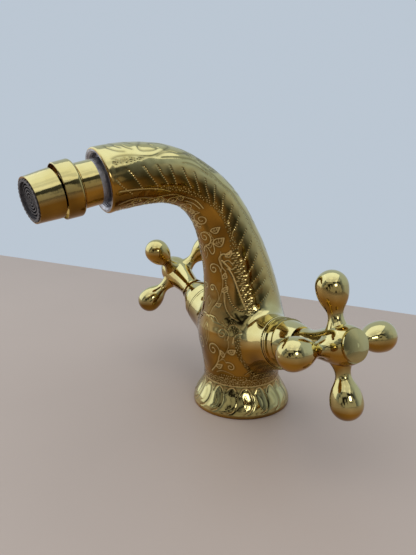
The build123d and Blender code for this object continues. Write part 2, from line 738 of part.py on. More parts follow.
def swivel_seal():
    """O-ring that presses the slip ring against the ball."""
    radius = SOCKET_CUP_RADIUS - SWIVEL_SEAL_SECTION / 2
    return o_ring(radius, SWIVEL_SEAL_SECTION, SOCKET_CUP_START + SWIVEL_SEAL_SECTION / 2)


def ball_space(clearance):
    """A sphere round the ball's centre, larger than the ball by the clearance."""
    return Pos(0, 0, BALL_AT) * Sphere(BALL_RADIUS + clearance)


def slip_ring():
    """Plastic seat behind the ball, free to turn in the cup."""
    ring = tube(SOCKET_CUP_RADIUS - RUNNING_GAP, SLIP_RING_BORE, SLIP_RING_START, SLIP_RING_END)
    return ring - ball_space(RUNNING_GAP)


def swivel_ring_nut():
    """Ring nut over the socket, whose lip holds the ball in; its mouth clears the nozzle."""
    lip_end = BALL_AT + RING_NUT_LIP
    belly = (RING_NUT_START + RING_NUT_END) / 2 + 1
    side = Spline(
        (RING_NUT_ROOT_RADIUS, 0, RING_NUT_START),
        (RING_NUT_RADIUS, 0, belly),
        (RING_NUT_EDGE_RADIUS, 0, RING_NUT_END),
        tangents=[(1.2, 0, 1), (-0.25, 0, 1)],
    )
    face = Line((RING_NUT_EDGE_RADIUS, 0, RING_NUT_END), (0, 0, RING_NUT_END))
    axis = Line((0, 0, RING_NUT_END), (0, 0, RING_NUT_START))
    back = Line((0, 0, RING_NUT_START), (RING_NUT_ROOT_RADIUS, 0, RING_NUT_START))
    nut = turned(side, face, axis, back)
    nut -= rod(SOCKET_THREAD_RADIUS + THREAD_CLEARANCE, RING_NUT_START, BALL_AT)
    nut -= ball_space(RUNNING_GAP)
    nut -= rod(SLIP_RING_BORE, BALL_AT, RING_NUT_END)
    return nut - rod(RING_NUT_MOUTH_RADIUS, lip_end, RING_NUT_END)


# ---------------------------------------------------------------- nozzle, in nozzle coordinates
INSERT_RADIUS = NOZZLE_MOUTH_RADIUS - NOZZLE_WALL
PLATE_START = NOZZLE_BORE_START + NOZZLE_WASHER_THICKNESS
INSERT_START = PLATE_START + PLATE_THICKNESS
INSERT_END = NOZZLE_LENGTH + INSERT_PROUD


def swivel_ball():
    """Bored ball with the stem that the nozzle screws onto."""
    ball = Sphere(BALL_RADIUS) + rod(BALL_STEM_RADIUS, 0, NOZZLE_BORE_START)
    return ball - rod(BALL_BORE_RADIUS, -BALL_RADIUS, NOZZLE_BORE_START)


def nozzle_shell():
    """Tapered outlet shell; its conical back is threaded on the ball's stem."""
    shell = lathe(
        (0, NOZZLE_BACK),
        (NOZZLE_BACK_RADIUS, NOZZLE_BACK),
        (NOZZLE_SHOULDER_RADIUS, NOZZLE_SHOULDER_AT),
        (NOZZLE_MOUTH_RADIUS, NOZZLE_LENGTH),
        (0, NOZZLE_LENGTH),
    )
    shell -= Sphere(BALL_RADIUS)
    shell -= rod(BALL_STEM_RADIUS, 0, NOZZLE_BORE_START)
    return shell - rod(INSERT_RADIUS, NOZZLE_BORE_START, NOZZLE_LENGTH)


def nozzle_washer():
    """Rubber washer between the shell's shoulder and the flow plate."""
    return tube(INSERT_RADIUS, BALL_STEM_RADIUS, NOZZLE_BORE_START, PLATE_START)


def flow_plate():
    """Perforated plate that breaks up the jet."""
    plate = rod(INSERT_RADIUS, PLATE_START, INSERT_START)
    hole = rod(PLATE_HOLE_RADIUS, PLATE_START, INSERT_START)
    plate -= hole
    for row, radius in enumerate(PLATE_ROW_RADII):
        count = PLATE_INNER_HOLE_COUNT * (row + 1)
        for index in range(count):
            plate -= Rot(0, 0, 360 / count * index) * Pos(radius, 0, 0) * hole
    return plate


def aerator_insert():
    """Plastic cage: notched rim, then a grille of fine rings on crossed ribs."""
    rim_bore = INSERT_RADIUS - INSERT_RIM_WIDTH
    face = INSERT_END - INSERT_FACE_RECESS
    ring_back = face - INSERT_GROOVE_DEPTH
    cage = tube(INSERT_RADIUS, INSERT_RADIUS - INSERT_SHELL_THICKNESS, INSERT_START, INSERT_END)
    cage += tube(INSERT_RADIUS, rim_bore, ring_back, INSERT_END)
    notch = Pos(INSERT_RADIUS, 0, INSERT_END) * Box(
        2 * INSERT_NOTCH_DEPTH, INSERT_NOTCH_WIDTH, 2 * INSERT_NOTCH_HEIGHT
    )
    for index in range(INSERT_NOTCH_COUNT):
        cage -= Rot(0, 0, 360 / INSERT_NOTCH_COUNT * index) * notch
    for ring in range(INSERT_RING_COUNT):
        radius = rim_bore * (ring + 0.5) / INSERT_RING_COUNT
        half = INSERT_RING_WIDTH / 2
        cage += tube(radius + half, radius - half, ring_back, face)
    length = INSERT_RADIUS + rim_bore
    rib = Box(length, INSERT_RIB_WIDTH, INSERT_RIB_HEIGHT, align=MIN_BOTTOM)
    for index in range(INSERT_RIB_COUNT):
        cage += Pos(0, 0, ring_back) * Rot(0, 0, 180 / INSERT_RIB_COUNT * index) * rib
    return cage


# ---------------------------------------------------------------- assembly
def valve_parts(side, name, handle_turn):
    """Every piece of one valve, with the moving ones turned to where the handle stands."""
    fixed = {
        "headwork_housing": headwork_housing(),
        "headwork_seal": headwork_seal(),
        "seat_seal": seat_seal(),
        "fixed_disc": fixed_disc(),
        "bonnet": bonnet(),
    }
    turning = {
        "moving_disc": moving_disc(),
        "spindle": spindle(-side),
        "spindle_inner_o_ring": spindle_o_ring(O_RING_FIRST),
        "spindle_outer_o_ring": spindle_o_ring(O_RING_FIRST + O_RING_PITCH),
        "glide_washer": glide_washer(),
        "spindle_clip": spindle_clip(),
        "cross_handle": cross_handle(),
        "handle_screw": handle_screw(),
        "handle_cap": handle_cap(),
    }
    frame = valve_plane(side).location
    parts = {f"{name}_{key}": frame * shape for key, shape in fixed.items()}
    for key, shape in turning.items():
        parts[f"{name}_{key}"] = frame * Rot(0, 0, handle_turn) * shape
    return parts


def outlet_parts():
    """Every piece of the outlet: fixed socket, slip ring and aimed nozzle."""
    tip = TIP_PLANE.location
    aim = nozzle_plane().location
    return {
        "outlet_washer": tip * outlet_washer(),
        "swivel_socket": tip * swivel_socket(),
        "swivel_seal": tip * swivel_seal(),
        "swivel_ring_nut": tip * swivel_ring_nut(),
        "swivel_slip_ring": tip * slip_ring(),
        "swivel_ball": aim * swivel_ball(),
        "nozzle_shell": aim * nozzle_shell(),
        "nozzle_washer": aim * nozzle_washer(),
        "flow_plate": aim * flow_plate(),
        "aerator_insert": aim * aerator_insert(),
    }


def main():
    """Builds every part and writes one STEP file for each."""
    parts = {"faucet_body": faucet_body(), "base_gasket": gasket_ring()}
    parts.update(valve_parts(1, "cold", COLD_HANDLE_TURN))
    parts.update(valve_parts(-1, "hot", HOT_HANDLE_TURN))
    parts.update(outlet_parts())
    os.makedirs("parts", exist_ok=True)
    for name, shape in parts.items():
        export_step(shape, f"parts/{name}.step")


main()
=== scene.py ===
"""Dresses a two-handle gold-plated mixer faucet with an engraved swan-neck body.

Everything stands in the part's own frame: +Z up, the origin on the deck under the middle of
the foot, the spout pointing along -Y, the cold handle towards +X. Sizes in the classes are in
millimetres; meshes are written in metres.
"""

import dataclasses
import json
import logging
import math
from dataclasses import dataclass, field
from enum import Enum

import bpy
import numpy as np
from mathutils import Matrix, Vector


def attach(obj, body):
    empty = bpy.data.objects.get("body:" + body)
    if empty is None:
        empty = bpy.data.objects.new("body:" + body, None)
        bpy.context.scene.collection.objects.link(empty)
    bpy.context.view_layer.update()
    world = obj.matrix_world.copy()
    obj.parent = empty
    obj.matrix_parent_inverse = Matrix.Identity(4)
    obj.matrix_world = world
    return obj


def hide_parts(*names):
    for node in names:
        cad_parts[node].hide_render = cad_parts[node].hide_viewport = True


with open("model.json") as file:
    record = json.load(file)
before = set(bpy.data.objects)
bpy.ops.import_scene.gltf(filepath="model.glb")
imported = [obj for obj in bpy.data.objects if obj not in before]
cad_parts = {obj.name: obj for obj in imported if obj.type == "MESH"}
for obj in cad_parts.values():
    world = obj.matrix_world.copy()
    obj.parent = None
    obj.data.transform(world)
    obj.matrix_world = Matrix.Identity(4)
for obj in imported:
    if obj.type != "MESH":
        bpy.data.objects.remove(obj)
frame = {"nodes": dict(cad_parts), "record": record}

LOG = logging.getLogger("faucet")
MM = 0.001
TURN = 2 * math.pi
CRISP_ANGLE = 28.0
FIXED_BODY = "fixed_body"
# Mesh attributes that the engraved finish reads: patina with painted shade, and the depth of the cuts.
MARKS = "patina_and_painted_shade", "engraving"

Array = np.ndarray
Material = bpy.types.Material
Piece = bpy.types.Object
Places = list | tuple | np.ndarray
Socket = bpy.types.NodeSocket


class Slot(str, Enum):
    """The material slots of the part."""

    ENGRAVED = "engraved_gold_plating"
    GOLD = "gold_plating"
    BRASS = "turned_brass"
    RUBBER = "black_rubber"
    CERAMIC = "alumina_ceramic"
    STEEL = "stainless_steel"
    WHITE = "white_plastic"
    DARK = "dark_plastic"


# ---------------------------------------------------------------- finishes
class NodeTree:
    """A thin helper that wires up the nodes of a material or of the world."""

    def __init__(self, owner: Material | bpy.types.World) -> None:
        """Starts the owner's node tree."""
        owner.use_nodes = True
        self.tree = owner.node_tree

    def add(self, kind: str, **values: object) -> bpy.types.Node:
        """Adds a node and sets its properties and unlinked inputs.

        Args:
            kind: The node's type name.
            **values: Properties of the node, or input values by socket name.

        Returns:
            The new node.
        """
        node = self.tree.nodes.new(kind)
        for key, value in values.items():
            if hasattr(node, key):
                setattr(node, key, value)
            else:
                node.inputs[key.replace("_", " ").title()].default_value = value
        return node

    def link(self, source: Socket, target: Socket) -> None:
        """Joins two sockets."""
        self.tree.links.new(source, target)

    def coordinates(self, space: str = "Object") -> Socket:
        """The socket of a texture space."""
        return self.add("ShaderNodeTexCoord").outputs[space]

    def noise(self, scale: float, detail: float, roughness: float = 0.5, space: str = "Object") -> Socket:
        """Adds noise.

        Args:
            scale: Cells per unit of the space.
            detail: Number of octaves.
            roughness: How strong the fine octaves are.
            space: The texture space that it fills.

        Returns:
            The noise value's socket.
        """
        node = self.add("ShaderNodeTexNoise", Scale=scale, Detail=detail, Roughness=roughness)
        self.link(self.coordinates(space), node.inputs["Vector"])
        return node.outputs["Fac"]

    def spread(
        self, source: Socket, low: float, high: float, start: float = 0.3, end: float = 0.7
    ) -> Socket:
        """Maps a value to a range.

        Args:
            source: The value.
            low: Result at start.
            high: Result at end.
            start: Where the mapping starts.
            end: Where the mapping ends.

        Returns:
            The mapped value's socket.
        """
        node = self.add("ShaderNodeMapRange", From_Min=start, From_Max=end, To_Min=low, To_Max=high)
        self.link(source, node.inputs["Value"])
        return node.outputs["Result"]

    def step(self, source: Socket, start: float, end: float) -> Socket:
        """Maps a value to a smooth step from 0 to 1.

        Args:
            source: The value.
            start: Where the step starts.
            end: Where it ends.

        Returns:
            The step's socket.
        """
        result = self.spread(source, 0.0, 1.0, start, end)
        result.node.interpolation_type = "SMOOTHSTEP"
        return result

    def mottle(self, noise: tuple, *limits: float) -> Socket:
        """Noise mapped to a range; the arguments are those of noise and of spread."""
        return self.spread(self.noise(*noise), *limits)

    def reach(self, vector: Socket, heading: tuple) -> Socket:
        """Measures how far a vector reaches in a direction.

        Args:
            vector: The vector's socket.
            heading: The direction, of length 1.

        Returns:
            The distance's socket.
        """
        node = self.add("ShaderNodeVectorMath", operation="DOT_PRODUCT")
        self.link(vector, node.inputs[0])
        node.inputs[1].default_value = heading
        return node.outputs["Value"]

    def along_axis(self, place: tuple, heading: tuple) -> Socket:
        """Measures how far along a straight axis a point lies.

        Args:
            place: Where the axis starts, in metres.
            heading: The axis's direction, of length 1.

        Returns:
            The distance's socket, in metres.
        """
        offset = self.add("ShaderNodeVectorMath", operation="SUBTRACT")
        self.link(self.coordinates(), offset.inputs[0])
        offset.inputs[1].default_value = place
        return self.reach(offset.outputs["Vector"], heading)

    def blend(self, factor: Socket, first: tuple | Socket, second: tuple | Socket) -> Socket:
        """Blends two colours.

        Args:
            factor: Share of the second colour.
            first: A colour or a colour socket.
            second: A colour or a colour socket.

        Returns:
            The blended colour's socket.
        """
        node = self.add("ShaderNodeMix", data_type="RGBA", clamp_factor=True)
        for colour, socket in ((first, node.inputs[6]), (second, node.inputs[7])):
            if isinstance(colour, tuple):
                socket.default_value = (*colour, 1)
            else:
                self.link(colour, socket)
        self.link(factor, node.inputs["Factor"])
        return node.outputs[2]


class MaterialTree(NodeTree):
    """The nodes of one material, round its Principled shader."""

    def __init__(self, name: str, metallic: float = 0.0) -> None:
        """Starts a material.

        Args:
            name: The material's name.
            metallic: Its share of metal.
        """
        self.material = bpy.data.materials.new(name)
        super().__init__(self.material)
        self.shader = self.tree.nodes["Principled BSDF"]
        self.shader.inputs["Metallic"].default_value = metallic

    def surface(
        self, tint: Socket, gloss: Socket | float, relief: tuple = (), height: float = 0.0
    ) -> Material:
        """Joins colour, roughness and bumps to the shader.

        Args:
            tint: The colour's socket.
            gloss: The roughness, or its socket.
            relief: The noise of the bumps, as the arguments of noise.
            height: Height of a full step of the bumps, in metres.

        Returns:
            The material.
        """
        self.link(tint, self.shader.inputs["Base Color"])
        if isinstance(gloss, float):
            self.shader.inputs["Roughness"].default_value = gloss
        else:
            self.link(gloss, self.shader.inputs["Roughness"])
        if relief:
            bump = self.add("ShaderNodeBump", Distance=height, Strength=1.0)
            self.link(self.noise(*relief), bump.inputs["Height"])
            self.link(bump.outputs["Normal"], self.shader.inputs["Normal"])
        return self.material


@dataclass(frozen=True)
class GoldPlating:
    """Polished gold-coloured plating: pale on top, with painted shade that makes what faces down deeper and
    redder.

    With bare_below set, what lies less than that far along the axis is unplated metal. Colours
    are linear, noises are cells per metre with their octaves, and lengths are in metres.
    """

    name: str
    bright: tuple = (0.66, 0.60, 0.29)
    warm: tuple = (0.56, 0.47, 0.18)
    # Painted shade: amber and brown stand in for shade and dark reflections on what faces down.
    painted_shade_amber: tuple = (0.41, 0.205, 0.028)
    painted_shade_brown: tuple = (0.18, 0.088, 0.013)
    # Patina colour, also used for painted shade and dark reflections.
    patina_and_shade_olive: tuple = (0.050, 0.041, 0.010)
    # Painted light: bright cuts where they face down, dark shaded cuts where they face up.
    groove: tuple = (0.86, 0.66, 0.28)
    shaded_groove: tuple = (0.11, 0.095, 0.03)
    clouds: tuple = (90.0, 3.0)
    warm_share: float = 0.7
    painted_shade_streaks: tuple = (60.0, 1.0)
    painted_shade_streak_limits: tuple = (0.0, 0.9, 0.38, 0.66)
    wear: tuple = (420.0, 4.0, 0.6)
    relief: tuple = (210.0, 4.0, 0.42)
    polish: float = 0.05
    dull: float = 0.13
    painted_shade_below: tuple = (-0.22, 0.45)
    lit_groove_below: tuple = (0.25, 0.60)
    patina_and_shade_share: float = 0.92
    groove_share: float = 0.85
    groove_limits: tuple = (0.3, 0.85)
    unevenness: float = 0.00004
    engraved: bool = False
    bare: tuple = (0.46, 0.46, 0.49)
    bare_shade: tuple = (0.17, 0.16, 0.18)
    bare_clouds: tuple = (260.0, 4.0)
    bare_dull: float = 0.36
    bare_edge: float = 0.0001
    bare_below: float = 0.0
    axis_place: tuple = (0.0, 0.0, 0.0)
    axis: tuple = (0.0, 0.0, 1.0)

    def build(self) -> Material:
        """Makes the material.

        Returns:
            The material.
        """
        nodes = MaterialTree(self.name, metallic=1.0)
        tint = nodes.blend(nodes.mottle(self.clouds, 0.0, self.warm_share), self.bright, self.warm)
        facing = nodes.add("ShaderNodeSeparateXYZ")
        nodes.link(nodes.add("ShaderNodeNewGeometry").outputs["Normal"], facing.inputs[0])
        upward = facing.outputs["Z"]
        # Painted shade: what faces down turns amber and brown, in streaks, as if shaded.
        painted_shade_streaks = nodes.blend(nodes.mottle(self.painted_shade_streaks, *self.painted_shade_streak_limits), self.painted_shade_amber, self.painted_shade_brown)
        tint = nodes.blend(nodes.spread(upward, 1.0, 0.0, *self.painted_shade_below), tint, painted_shade_streaks)
        gloss = nodes.mottle(self.wear, self.polish, self.dull)
        if self.engraved:
            tint = self._engraving(nodes, tint, upward)
        if self.bare_below:
            along = nodes.along_axis(self.axis_place, self.axis)
            unplated = nodes.spread(along, 1.0, 0.0, self.bare_below, self.bare_below + self.bare_edge)
            metal = nodes.blend(nodes.mottle(self.bare_clouds, 0.0, 1.0), self.bare, self.bare_shade)
            tint = nodes.blend(unplated, tint, metal)
            gloss = nodes.blend(unplated, gloss, (self.bare_dull,) * 3)
        return nodes.surface(tint, gloss, self.relief, self.unevenness)

    def _engraving(self, nodes: NodeTree, tint: Socket, upward: Socket) -> Socket:
        """Colours the patina with its painted shade, and the cuts in painted lit and shaded tones, from the
        mesh's attributes.

        Args:
            nodes: The material's nodes.
            tint: The colour of the smooth plating.
            upward: How far the surface faces up.

        Returns:
            The colour's socket.
        """
        patina_and_painted_shade, cut = (nodes.add("ShaderNodeAttribute", attribute_name=mark).outputs["Fac"] for mark in MARKS)
        # Painted shade: the patina attribute also holds painted shadows and dark reflections, mixed towards
        # olive.
        tint = nodes.blend(nodes.spread(patina_and_painted_shade, 0.0, self.patina_and_shade_share, 0.0, 1.0), tint, self.patina_and_shade_olive)
        # Painted light: cuts facing down are drawn bright as if lit, cuts facing up dark as if shaded.
        shaded = nodes.spread(upward, 0.0, 1.0, *self.lit_groove_below)
        groove = nodes.blend(shaded, self.groove, self.shaded_groove)
        return nodes.blend(nodes.spread(cut, 0.0, self.groove_share, *self.groove_limits), tint, groove)


@dataclass(frozen=True)
class PlainMetal:
    """Turned or pressed metal with fine machining marks."""

    name: str
    colour: tuple
    shade: tuple
    roughness: float = 0.28
    metallic: float = 1.0
    clouds: tuple = (260.0, 4.0)
    wear: tuple = (900.0, 3.0)
    wear_range: tuple = (0.8, 1.4)
    marks: tuple = (3200.0, 2.0)
    mark_height: float = 0.00001

    def build(self) -> Material:
        """Makes the material.

        Returns:
            The material.
        """
        nodes = MaterialTree(self.name, self.metallic)
        tint = nodes.blend(nodes.mottle(self.clouds, 0.0, 1.0), self.colour, self.shade)
        low, high = (self.roughness * share for share in self.wear_range)
        return nodes.surface(tint, nodes.mottle(self.wear, low, high), self.marks, self.mark_height)


@dataclass(frozen=True)
class Moulded(PlainMetal):
    """Moulded plastic, rubber or fired ceramic: a matt or satin skin with a faint mottle."""

    metallic: float = 0.0
    clouds: tuple = (350.0, 3.0)
    wear: tuple = (700.0, 3.0)
    wear_range: tuple = (0.85, 1.2)
    marks: tuple = (2400.0, 3.0)
    mark_height: float = 0.00002


SOCKET_COLLAR = 0.0020
BARE_CASTING = PlainMetal("bare_casting", (0.58, 0.58, 0.61), (0.22, 0.21, 0.24), 0.34)
FINISHES = {
    Slot.ENGRAVED: GoldPlating("engraved_plating", painted_shade_below=(-0.06, 0.48), engraved=True),
    Slot.GOLD: GoldPlating("smooth_plating", polish=0.04, dull=0.10, unevenness=0.00009),
    Slot.BRASS: PlainMetal("turned_brass", (0.78, 0.62, 0.33), (0.62, 0.47, 0.22)),
    Slot.RUBBER: Moulded("black_rubber", (0.02, 0.02, 0.022), (0.035, 0.034, 0.034), 0.6),
    Slot.CERAMIC: Moulded("alumina", (0.88, 0.87, 0.83), (0.80, 0.79, 0.75), 0.3, mark_height=0.000004),
    Slot.STEEL: PlainMetal("stainless_steel", (0.62, 0.62, 0.61), (0.50, 0.50, 0.50)),
    Slot.WHITE: Moulded("white_plastic", (0.82, 0.82, 0.79), (0.74, 0.74, 0.70), 0.42),
    Slot.DARK: Moulded("dark_plastic", (0.060, 0.055, 0.062), (0.10, 0.095, 0.10), 0.38),
}


# ---------------------------------------------------------------- meshes
def mesh_piece(
    name: str,
    points: Array,
    faces: Array | list,
    material: Material,
    marks: dict[str, Array] | None = None,
) -> Piece:
    """Makes a smooth-shaded object.

    Args:
        name: The piece's name.
        points: Corners in millimetres, one row each.
        faces: Corner numbers of each face.
        material: What the piece is made of.
        marks: Values for each corner, stored as attributes by name.

    Returns:
        The object, linked into the scene.
    """
    mesh = bpy.data.meshes.new(name)
    rows = faces.tolist() if isinstance(faces, np.ndarray) else faces
    mesh.from_pydata((points * MM).tolist(), [], rows)
    mesh.shade_smooth()
    mesh.materials.append(material)
    for mark, values in (marks or {}).items():
        layer = mesh.attributes.new(mark, "FLOAT", "POINT")
        layer.data.foreach_set("value", values.astype(np.float32))
    mesh.update()
    piece = bpy.data.objects.new(name, mesh)
    bpy.context.scene.collection.objects.link(piece)
    return piece


def unit(vectors: Array) -> Array:
    """Scales each row to length one."""
    return vectors / np.maximum(np.linalg.norm(vectors, axis=-1, keepdims=True), 1e-12)


def share_between(value: Array, start: float, end: float) -> Array:
    """How far each value has come from start, 0, to end, 1."""
    return np.clip((value - start) / (end - start), 0, 1)


def round_off(depth: Array, radius: float) -> Array:
    """How far a quarter-round edge falls back at each depth into it."""
    inside = np.clip(depth, 0, radius)
    return radius - np.sqrt(radius**2 - inside**2)


def ring_quads(first: Array, second: Array) -> Array:
    """Quads between two closed rings of corner numbers."""
    return np.stack([first, np.roll(first, -1), np.roll(second, -1), second], -1)


def hand_over(piece: Piece, solid: str) -> None:
    """Hangs a piece on the fixed body in the place of one of the part's solids.

    Args:
        piece: The dressed piece.
        solid: The solid that it stands for.
    """
    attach(piece, FIXED_BODY)
    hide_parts(solid)
    LOG.info("%s: %d faces", piece.name, len(piece.data.polygons))


# ---------------------------------------------------------------- the studio
@dataclass
class Studio:
    """A plain pale floor and backdrop, soft lamps and the camera."""

    wall: tuple = (0.50, 0.57, 0.65)
    room: tuple = (0.50, 0.53, 0.56)
    room_dark: tuple = (0.015, 0.013, 0.010)
    room_light: tuple = (0.40, 0.38, 0.33)
    room_clouds: tuple = (3.4, 1.5)
    room_contrast: tuple = (0.43, 0.59)
    room_edge: tuple = (-0.15, 0.75)
    floor: tuple = (0.56, 0.455, 0.385)
    floor_dim: float = 0.94
    floor_dull: float = 0.45
    floor_clouds: tuple = (6.0, 3.0)
    floor_gap: float = 0.05
    back_edge: tuple = ((-432.4, -37.5), (-40.5, 190.5))
    world_strength: float = 0.8
    eye: tuple = (219.11, -152.98, 135.78)
    azimuth: float = 58.8
    pitch: float = 14.8
    roll: float = -0.13
    lens: float = 35.675676
    sensor: float = 36.0
    nearest: float = 0.005
    room_side: tuple = (0.78, -0.60, 0.15)
    floor_reach: float = 3000.0
    lamps: tuple = (
        ("overhead", (60, -60, 620), (0, 0, 60), 0.85, 1.7),
        ("window", (-520, -420, 380), (0, -30, 70), 0.80, 1.4),
        ("camera_side", (480, -120, 260), (0, -20, 60), 0.12, 0.22),
    )

    def build(self) -> None:
        """Makes the whole studio."""
        self._world()
        self._floor()
        for lamp in self.lamps:
            self._lamp(*lamp)
        self._camera()
        bpy.context.scene.view_settings.view_transform = "Standard"
        LOG.info("studio: floor, world, %d lamps and camera", len(self.lamps))

    def _world(self) -> None:
        """A pale wall behind the faucet; polished metal also shows a dimmer, uneven room in front of it."""
        world = bpy.data.worlds.new("studio")
        bpy.context.scene.world = world
        nodes = NodeTree(world)
        background = nodes.tree.nodes["Background"]
        front = nodes.step(nodes.reach(nodes.coordinates("Generated"), self.room_side), *self.room_edge)
        uneven = nodes.step(nodes.noise(*self.room_clouds, space="Generated"), *self.room_contrast)
        room = nodes.blend(uneven, self.room_dark, self.room_light)
        path = nodes.add("ShaderNodeLightPath")
        plain, mirrored = nodes.blend(front, self.wall, self.room), nodes.blend(front, self.wall, room)
        seen_colour = nodes.blend(path.outputs["Is Glossy Ray"], plain, mirrored)
        nodes.link(seen_colour, background.inputs["Color"])
        seen = path.outputs["Is Camera Ray"]
        for ray in ("Is Glossy Ray", "Is Transmission Ray"):
            either = nodes.add("ShaderNodeMath", operation="MAXIMUM")
            nodes.link(seen, either.inputs[0])
            nodes.link(path.outputs[ray], either.inputs[1])
            seen = either.outputs[0]
        level = nodes.spread(seen, self.world_strength, 1.0, 0.0, 1.0)
        nodes.link(level, background.inputs["Strength"])

    def _floor(self) -> None:
        """A large top under the foot that ends in a straight edge at the back."""
        nodes = MaterialTree("floor")
        dimmer = tuple(self.floor_dim * c for c in self.floor)
        tint = nodes.blend(nodes.mottle(self.floor_clouds, 0.0, 1.0), self.floor, dimmer)
        material = nodes.surface(tint, self.floor_dull)
        first, second = (np.array(end) for end in self.back_edge)
        along = (second - first) / np.linalg.norm(second - first)
        front = np.array([along[1], -along[0]])
        middle, side, reach = (first + second) / 2, self.floor_reach * along, self.floor_reach * front
        corners = [middle - side, middle - side + reach, middle + side + reach, middle + side]
        points = np.c_[np.array(corners), np.full(4, -self.floor_gap)]
        mesh_piece("floor", points, [[0, 1, 2, 3]], material)

    def _lamp(self, name: str, place: tuple, target: tuple, width: float, power: float) -> None:
        """One soft square lamp.

        Args:
            name: The lamp's name.
            place: Where it stands, in millimetres.
            target: What it points at, in millimetres.
            width: Its side, in metres.
            power: Its power in watts.
        """
        data = bpy.data.lights.new(name, "AREA")
        data.shape = "SQUARE"
        data.size = width
        data.energy = power
        lamp = bpy.data.objects.new(name, data)
        lamp.location = Vector(place) * MM
        lamp.rotation_euler = (Vector(target) - Vector(place)).to_track_quat("-Z", "Y").to_euler()
        bpy.context.scene.collection.objects.link(lamp)

    def _camera(self) -> None:
        """The camera, from its place, heading, pitch, roll and lens."""
        turn, drop, tip = (math.radians(a) for a in (self.azimuth, self.pitch, self.roll))
        ahead = Vector((-math.sin(turn) * math.cos(drop), math.cos(turn) * math.cos(drop), -math.sin(drop)))
        level = Vector((math.cos(turn), math.sin(turn), 0))
        upright = level.cross(ahead)
        across = level * math.cos(tip) + upright * math.sin(tip)
        above = upright * math.cos(tip) - level * math.sin(tip)
        data = bpy.data.cameras.new("camera")
        data.sensor_width = self.sensor
        data.lens = self.lens
        data.clip_start = self.nearest
        camera = bpy.data.objects.new("camera", data)
        turn_matrix = Matrix((across, above, -ahead)).transposed().to_4x4()
        camera.matrix_world = Matrix.Translation(Vector(self.eye) * MM) @ turn_matrix
        bpy.context.scene.collection.objects.link(camera)
        bpy.context.scene.camera = camera


# ---------------------------------------------------------------- the engraved body
@dataclass
class SpoutLine:
    """The body's centre line: up the trunk, round three bends and out along a short nose."""

    trunk_top: float = 42.0
    bends: tuple = ((117.2, 27.7), (41.6, 61.2), (101.5, 12.4))
    nose: float = 1.5

    def __post_init__(self) -> None:
        """Works out where each bend starts, its heading and its centre."""
        self.arcs: list[tuple[float, float, float, Array]] = []
        station, heading, place = self.trunk_top, 0.0, np.array([0.0, self.trunk_top])
        for radius, degrees in self.bends:
            centre = place - radius * np.array([math.cos(heading), math.sin(heading)])
            self.arcs.append((station, radius, heading, centre))
            station += radius * math.radians(degrees)
            heading += math.radians(degrees)
            place = centre + radius * np.array([math.cos(heading), math.sin(heading)])
        self.bend_end, self.end_heading, self.end_place = station, heading, place
        self.end = station + self.nose

    def place(self, station: Array) -> tuple[Array, Array]:
        """Where stations lie.

        Args:
            station: Lengths along the line, in millimetres.

        Returns:
            The centres, one row each, and the headings in radians from straight up.
        """
        y, z, heading = np.zeros_like(station), station.copy(), np.zeros_like(station)
        for start, radius, turn, centre in self.arcs:
            after = station >= start
            angle = turn + (station[after] - start) / radius
            y[after], z[after] = centre[0] + radius * np.cos(angle), centre[1] + radius * np.sin(angle)
            heading[after] = angle
        beyond = station > self.bend_end
        extra = station[beyond] - self.bend_end
        y[beyond] = self.end_place[0] - extra * math.sin(self.end_heading)
        z[beyond] = self.end_place[1] + extra * math.cos(self.end_heading)
        heading[beyond] = self.end_heading
        return np.c_[np.zeros_like(y), y, z], heading

    def outlet(self) -> tuple[Array, Array]:
        """Where the mouth is and how it faces.

        Returns:
            The centre, and three directions in rows: across, up and out along the jet.
        """
        centre, heading = self.place(np.array([self.end]))
        across, jet = np.array([1.0, 0, 0]), np.array([0, -math.sin(heading[0]), math.cos(heading[0])])
        return centre, np.array([across, np.cross(jet, across), jet])

    def station(self, points: Array) -> Array:
        """The station nearest to each point.

        Args:
            points: Points in millimetres, one row each.

        Returns:
            The length along the line of each.
        """
        y, z = points[:, 1], points[:, 2]
        found = z.copy()
        for start, radius, turn, centre in self.arcs:
            angle = np.arctan2(z - centre[1], y - centre[0])
            found = np.where((found >= start) & (angle > turn), start + radius * (angle - turn), found)
        along = -(y - self.end_place[0]) * math.sin(self.end_heading)
        along += (z - self.end_place[1]) * math.cos(self.end_heading)
        return np.where(found > self.bend_end, self.bend_end + along, found)


